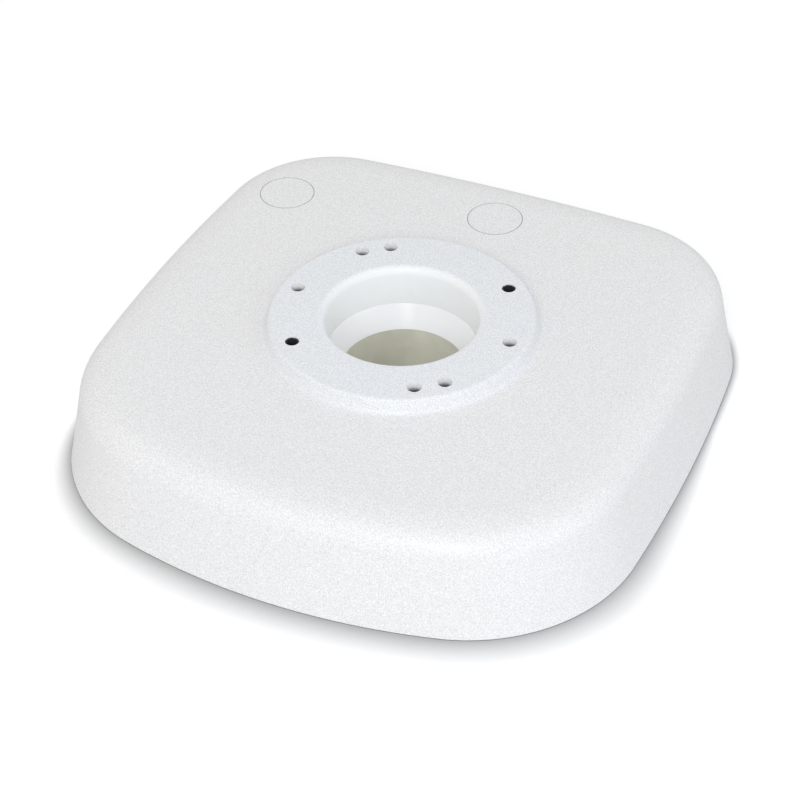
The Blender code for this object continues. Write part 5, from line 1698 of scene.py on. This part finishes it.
def make_inductor():
    """A wire wound round a ring core, on a small plastic base."""
    low, high = low_high("inductor")
    place = centre("inductor")
    middle_z = (low.z + high.z) / 2
    circle_radius, core_radius, wire = 8 * MM, 2.4 * MM, 0.42 * MM
    core = turned_mesh("core", torus_profile(circle_radius, middle_z, core_radius, 20), place.x, place.y, 72)
    detail("inductor_core", core, "cast_iron", "inductor", sharp_degrees=60.0)
    turns, per_turn = 34, 14
    wound = []
    for i in range(turns * per_turn + 1):
        around = -150.0 + 300.0 * i / (turns * per_turn)
        reach, rise = polar(core_radius + wire * 1.1, 360.0 * i / per_turn)
        x, y = polar(circle_radius + reach, around)
        wound.append((place.x + x, place.y + y, middle_z + rise))
    stand_in("inductor", tube_mesh(wound, wire, 6), "copper", sharp_degrees=80.0)
    base = rounded_profile(disc_profile(6 * MM, low.z, low.z + 0.9 * MM), 0.2 * MM, 2, False)
    detail("inductor_base", turned_mesh("base", base, place.x, place.y, 40), "black_plastic", "inductor")


# ---------------------------------------------------------------- sockets, vent, sensor and cables

CABLE_RADIUS = 1.5 * MM
CABLE_RUN_Y = -128.0 * MM


def make_connectors():
    make_socket("power_connector", 4)
    make_socket("network_connector", 8)
    make_vent()
    make_home_sensor()


def make_socket(node, ways):
    """A bulkhead socket: flange, keyed mouth and pins below the plate, nut and leads above it."""
    low, high = low_high(node)
    place = centre(node)
    flange, shank, mouth = outer_radius(node), 9 * MM, 6.5 * MM
    seat, mouth_top = PLATE_LOW_Z - 0.3 * MM, low.z + 5.4 * MM
    profile = [
        (0.0, high.z), (7.2 * MM, high.z), (7.6 * MM, high.z - 0.4 * MM),
        (shank - 0.3 * MM, high.z - 1.6 * MM),
    ]
    z = high.z - 2.4 * MM
    while z > seat + 5 * MM:
        profile += [(shank, z), (shank - 0.5 * MM, z - 0.5 * MM)]
        z -= MM
    profile += [
        (shank, seat + 4.4 * MM), (shank, seat), (flange - 0.3 * MM, seat), (flange, seat - 0.3 * MM),
        (flange, low.z + 0.8 * MM), (flange - 0.8 * MM, low.z), (mouth + 0.5 * MM, low.z),
        (mouth, low.z + 0.5 * MM), (mouth, mouth_top), (0.0, mouth_top),
    ]
    key = box_mesh(
        (place.x - MM, place.y + mouth - 0.2 * MM, low.z - MM),
        (place.x + MM, place.y + mouth + 0.9 * MM, low.z + 4.6 * MM),
    )
    turned_stand_in(node, profile, "black_plastic", 72, cuts=[key])
    pins = [polar(3.6 * MM, 360.0 * i / ways + 22.5) for i in range(ways)]
    pins = [(place.x + x, place.y + y, 0.55 * MM) for x, y in pins]
    pins = rods_mesh(pins, low.z + 1.4 * MM, low.z + 5.8 * MM, 16)
    detail(f"{node}_pins", pins, "brass", node, bevel=0.2 * MM)
    nut_low, nut_high = 8.2 * MM, 11.4 * MM
    nut = rods_mesh([(place.x, place.y, 12.4 * MM)], nut_low, nut_high, 6)
    nut_hole = rods_mesh([(place.x, place.y, shank + 0.1 * MM)], nut_low - MM, nut_high + MM, 48)
    detail(f"{node}_nut", nut, "turned_aluminium", node, cuts=[nut_hole], bevel=0.4 * MM)
    seal = rounded_profile(ring_profile(shank + 0.7 * MM, flange - MM, seat, PLATE_LOW_Z), 0.1 * MM, 1)
    detail(f"{node}_seal", turned_mesh("seal", seal, place.x, place.y, 48), "rubber", node)
    detail(f"{node}_leads", socket_leads(place, high.z), "grey_plastic", node)


def socket_leads(place, top_z):
    """Three wires that rise from a socket and run back down to the board cable's height."""
    leads = []
    for x in (place.x - 3 * MM, place.x, place.x + 3 * MM):
        run = rounded_run([
            (x, place.y, top_z - MM), (x, place.y, top_z + 3 * MM), (x, place.y + 22 * MM, top_z + 3 * MM),
            (x, place.y + 30 * MM, 10 * MM), (x, place.y + 34.5 * MM, 10 * MM),
        ], 2.5 * MM)
        leads.append(tube_mesh(run, 0.9 * MM, 10))
    return merge_meshes(leads)


def make_vent():
    """A breather cap with six slits in its underside."""
    low, high = low_high("breather_vent")
    place, cap, shank = centre("breather_vent"), outer_radius("breather_vent"), 4 * MM
    seat = PLATE_LOW_Z - 0.3 * MM
    profile = [
        (0.0, high.z), (shank - 0.5 * MM, high.z), (shank, high.z - 0.5 * MM), (shank, seat),
        (cap - 0.2 * MM, seat), (cap, seat - 0.2 * MM), (cap, low.z + 0.9 * MM),
        (cap - 0.3 * MM, low.z + 0.25 * MM), (cap - MM, low.z), (0.0, low.z),
    ]
    slits = boxes_round(
        (2.4 * MM, -0.45 * MM, low.z - MM), (5.6 * MM, 0.45 * MM, low.z + 0.9 * MM),
        [60.0 * i for i in range(6)], (place.x, place.y, 0.0),
    )
    turned_stand_in("breather_vent", profile, "black_plastic", 64, cuts=[slits])


def make_home_sensor():
    low, high = low_high("home_sensor")
    slot = box_mesh(
        (low.x + 2.6 * MM, low.y - MM, high.z - 3 * MM), (high.x - 2.6 * MM, high.y + MM, high.z + MM)
    )
    stand_in("home_sensor", box_mesh(low, high), "black_plastic", cuts=[slot], bevel=0.4 * MM)
    legs = [low.x + (1.4 + 2.2 * i) * MM for i in range(3)]
    feet = boxes_mesh([
        ((x, low.y - 2.2 * MM, low.z), (x + 0.8 * MM, low.y + 0.5 * MM, low.z + 0.6 * MM)) for x in legs
    ])
    detail("home_sensor_leads", feet, "tin", "home_sensor")


def make_cables():
    """The cables along the plate: board to board, and board to motor, with clips on the first."""
    z = PLATE_TOP_Z + 0.3 * MM + CABLE_RADIUS
    raised_z = z + 6 * MM
    control_x, control_y = board_point("control_board", 60, -3)
    power_x, power_y = board_point("power_board", 10, -3)
    stand_in("board_cable", tube_mesh(rounded_run([
        (control_x, control_y, raised_z), (control_x, control_y - 8 * MM, z), (control_x, CABLE_RUN_Y, z),
        (power_x, CABLE_RUN_Y, z), (power_x, power_y - 6 * MM, z), (power_x, power_y, raised_z),
    ], 5 * MM), CABLE_RADIUS), "black_plastic", sharp_degrees=60.0)
    motor = centre("drive_motor")
    top_x, top_y = board_point("control_board", 60, 143)
    stand_in("motor_cable", tube_mesh(rounded_run([
        (top_x, top_y, raised_z), (top_x, top_y + 10 * MM, z), (top_x, 176 * MM, z),
        (motor.x - 34 * MM, motor.y + 38 * MM, z), (motor.x - 28 * MM, motor.y + 34 * MM, 30 * MM),
        (motor.x - 21.5 * MM, motor.y + 12 * MM, 30 * MM),
    ], 6 * MM), CABLE_RADIUS), "black_plastic", sharp_degrees=60.0)
    for number, x in enumerate((-90 * MM, 0.0, 90 * MM), 1):
        clip = box_mesh(
            (x - 2.2 * MM, CABLE_RUN_Y - 3.4 * MM, PLATE_TOP_Z),
            (x + 2.2 * MM, CABLE_RUN_Y + 3.4 * MM, 12 * MM),
        )
        hollow = box_mesh(
            (x - 3.2 * MM, CABLE_RUN_Y - 1.7 * MM, 7.5 * MM),
            (x + 3.8 * MM, CABLE_RUN_Y + 1.7 * MM, 11.5 * MM),
        )
        detail(f"cable_clip_{number}", clip, "white_plastic", "board_cable", cuts=[hollow], bevel=0.5 * MM)


# ---------------------------------------------------------------- stage

CAMERA_AZIMUTH = 24.88
CAMERA_ELEVATION = 39.91
CAMERA_DISTANCE = 1.627
CAMERA_ROLL = -1.17
CAMERA_LENS = 94.7
CAMERA_SHIFT = (-0.0048, 0.008)
SHADOW_AZIMUTH = 20.0
SHADOW_DEPTH = 0.22
SHADOW_REACH = (8 * MM, 38 * MM)
SHADOW_SPAN = (20 * MM, 210 * MM)
FLOOR_GREY = (0.8, 0.8, 0.8)
FLOOR_GLOW = 0.17
KEY_LIGHT = {
    "azimuth": 16.0, "elevation": 37.0, "distance": 2.6, "size": 1.3, "power": 20.0,
    "colour": (0.95, 0.98, 1.03),
}
SIDE_LIGHT = {
    "azimuth": 80.0, "elevation": 24.0, "distance": 2.4, "size": 1.2, "power": 4.5,
    "colour": (0.93, 0.97, 1.04),
}
SKY_STRENGTH = 0.74
SKY_COOL_SIDE = (0.97, 0.996, 1.02, 1.0)
SKY_WARM_SIDE = (1.03, 0.996, 0.965, 1.0)


def contact_shadow(look):
    """A factor below 1 on the floor near the object; it reaches further out on the camera's side."""
    nearness = look.node("ShaderNodeAmbientOcclusion", samples=24)
    along = look.node("ShaderNodeVectorMath", operation="DOT_PRODUCT")
    along.inputs[1].default_value = direction(SHADOW_AZIMUTH, 0.0)
    look.link(look.place(), along.inputs[0])
    reach = look.remap(along.outputs["Value"], *SHADOW_REACH, *SHADOW_SPAN)
    look.link(reach, nearness.inputs["Distance"])
    return look.remap(nearness.outputs["AO"], SHADOW_DEPTH, 1.0, 0.5, 1.0)


def stage():
    """A wide floor of bright paper, which lets a camera below it see and light the underside."""
    bm = bmesh.new()
    bmesh.ops.create_grid(bm, x_segments=1, y_segments=1, size=6.0)
    floor = link_object("floor", finish_mesh("floor", bm))
    look = Look("floor", FLOOR_GREY, 0.95)
    look.set("Specular IOR Level", 0.0)
    path = look.node("ShaderNodeLightPath")
    seen = path.outputs["Is Camera Ray"]
    shadow = contact_shadow(look)
    seen_paper = look.ramp(shadow, ((0.0, (0.0, 0.0, 0.0)), (1.0, (1.0, 1.0, 1.0))))
    paper = look.node("ShaderNodeRGB").outputs["Color"]
    paper.default_value = (*FLOOR_GREY, 1.0)
    look.link(look.mix(seen, paper, seen_paper), look.shader.inputs["Base Color"])
    look.link(seen_paper, look.shader.inputs["Emission Color"])
    look.link(look.remap(seen, 0.0, FLOOR_GLOW, 0.0, 1.0), look.shader.inputs["Emission Strength"])
    from_below = look.maths("MULTIPLY", look.node("ShaderNodeNewGeometry").outputs["Backfacing"], seen)
    passed = look.maths("GREATER_THAN", path.outputs["Transparent Depth"])
    clear = look.node("ShaderNodeMixShader")
    look.link(look.maths("MAXIMUM", from_below, passed), clear.inputs["Fac"])
    look.link(look.shader.outputs["BSDF"], clear.inputs[1])
    look.link(look.node("ShaderNodeBsdfTransparent").outputs["BSDF"], clear.inputs[2])
    look.link(clear.outputs["Shader"], look.tree.nodes["Material Output"].inputs["Surface"])
    floor.data.materials.append(look.material)


def area_light(name, azimuth, elevation, distance, size, power, colour):
    """A round soft light aimed at the object; azimuth is counted from -Y towards +X."""
    light = bpy.data.lights.new(name, "AREA")
    light.shape = "DISK"
    light.size = size
    light.energy = power
    light.color = colour
    lamp = bpy.data.objects.new(name, light)
    bpy.context.scene.collection.objects.link(lamp)
    towards = direction(azimuth, elevation)
    lamp.location = towards * distance
    lamp.rotation_euler = towards.to_track_quat("Z", "Y").to_euler()


def direction(azimuth, elevation):
    around, up = math.radians(azimuth), math.radians(elevation)
    return Vector((math.sin(around) * math.cos(up), -math.cos(around) * math.cos(up), math.sin(up)))


def sky():
    """Soft light from all round, a little warmer from the camera's left than from its right."""
    world = bpy.data.worlds.new("studio")
    world.use_nodes = True
    tree = world.node_tree
    background = tree.nodes["Background"]
    background.inputs["Strength"].default_value = SKY_STRENGTH
    sideways = tree.nodes.new("ShaderNodeVectorMath")
    sideways.operation = "DOT_PRODUCT"
    sideways.inputs[1].default_value = direction(CAMERA_AZIMUTH + 90.0, 0.0)
    tree.links.new(tree.nodes.new("ShaderNodeTexCoord").outputs["Generated"], sideways.inputs[0])
    span = tree.nodes.new("ShaderNodeMapRange")
    span.inputs["From Min"].default_value = -1.0
    tree.links.new(sideways.outputs["Value"], span.inputs["Value"])
    tint = tree.nodes.new("ShaderNodeValToRGB")
    tint.color_ramp.elements[0].color = SKY_WARM_SIDE
    tint.color_ramp.elements[1].color = SKY_COOL_SIDE
    tree.links.new(span.outputs["Result"], tint.inputs["Fac"])
    tree.links.new(tint.outputs["Color"], background.inputs["Color"])
    bpy.context.scene.world = world


def lights():
    sky()
    area_light("key", **KEY_LIGHT)
    area_light("side", **SIDE_LIGHT)


def camera():
    back = direction(CAMERA_AZIMUTH, CAMERA_ELEVATION)
    data = bpy.data.cameras.new("camera")
    data.lens = CAMERA_LENS
    data.sensor_width = 36.0
    data.shift_x, data.shift_y = CAMERA_SHIFT
    data.clip_start = 0.05
    view = bpy.data.objects.new("camera", data)
    bpy.context.scene.collection.objects.link(view)
    upright = (-back).to_track_quat("-Z", "Y").to_matrix().to_4x4()
    roll = Matrix.Rotation(math.radians(CAMERA_ROLL), 4, "Z")
    view.matrix_world = Matrix.Translation(back * CAMERA_DISTANCE) @ upright @ roll
    bpy.context.scene.camera = view
    bpy.context.scene.view_settings.view_transform = "Standard"


make_radome()
make_hub()
make_base_plate()
make_base_gasket()
make_base_fasteners()
make_bearing()
make_turntable()
make_belt_drive()
make_array()
make_boards()
make_connectors()
make_cables()
stage()
lights()
camera()
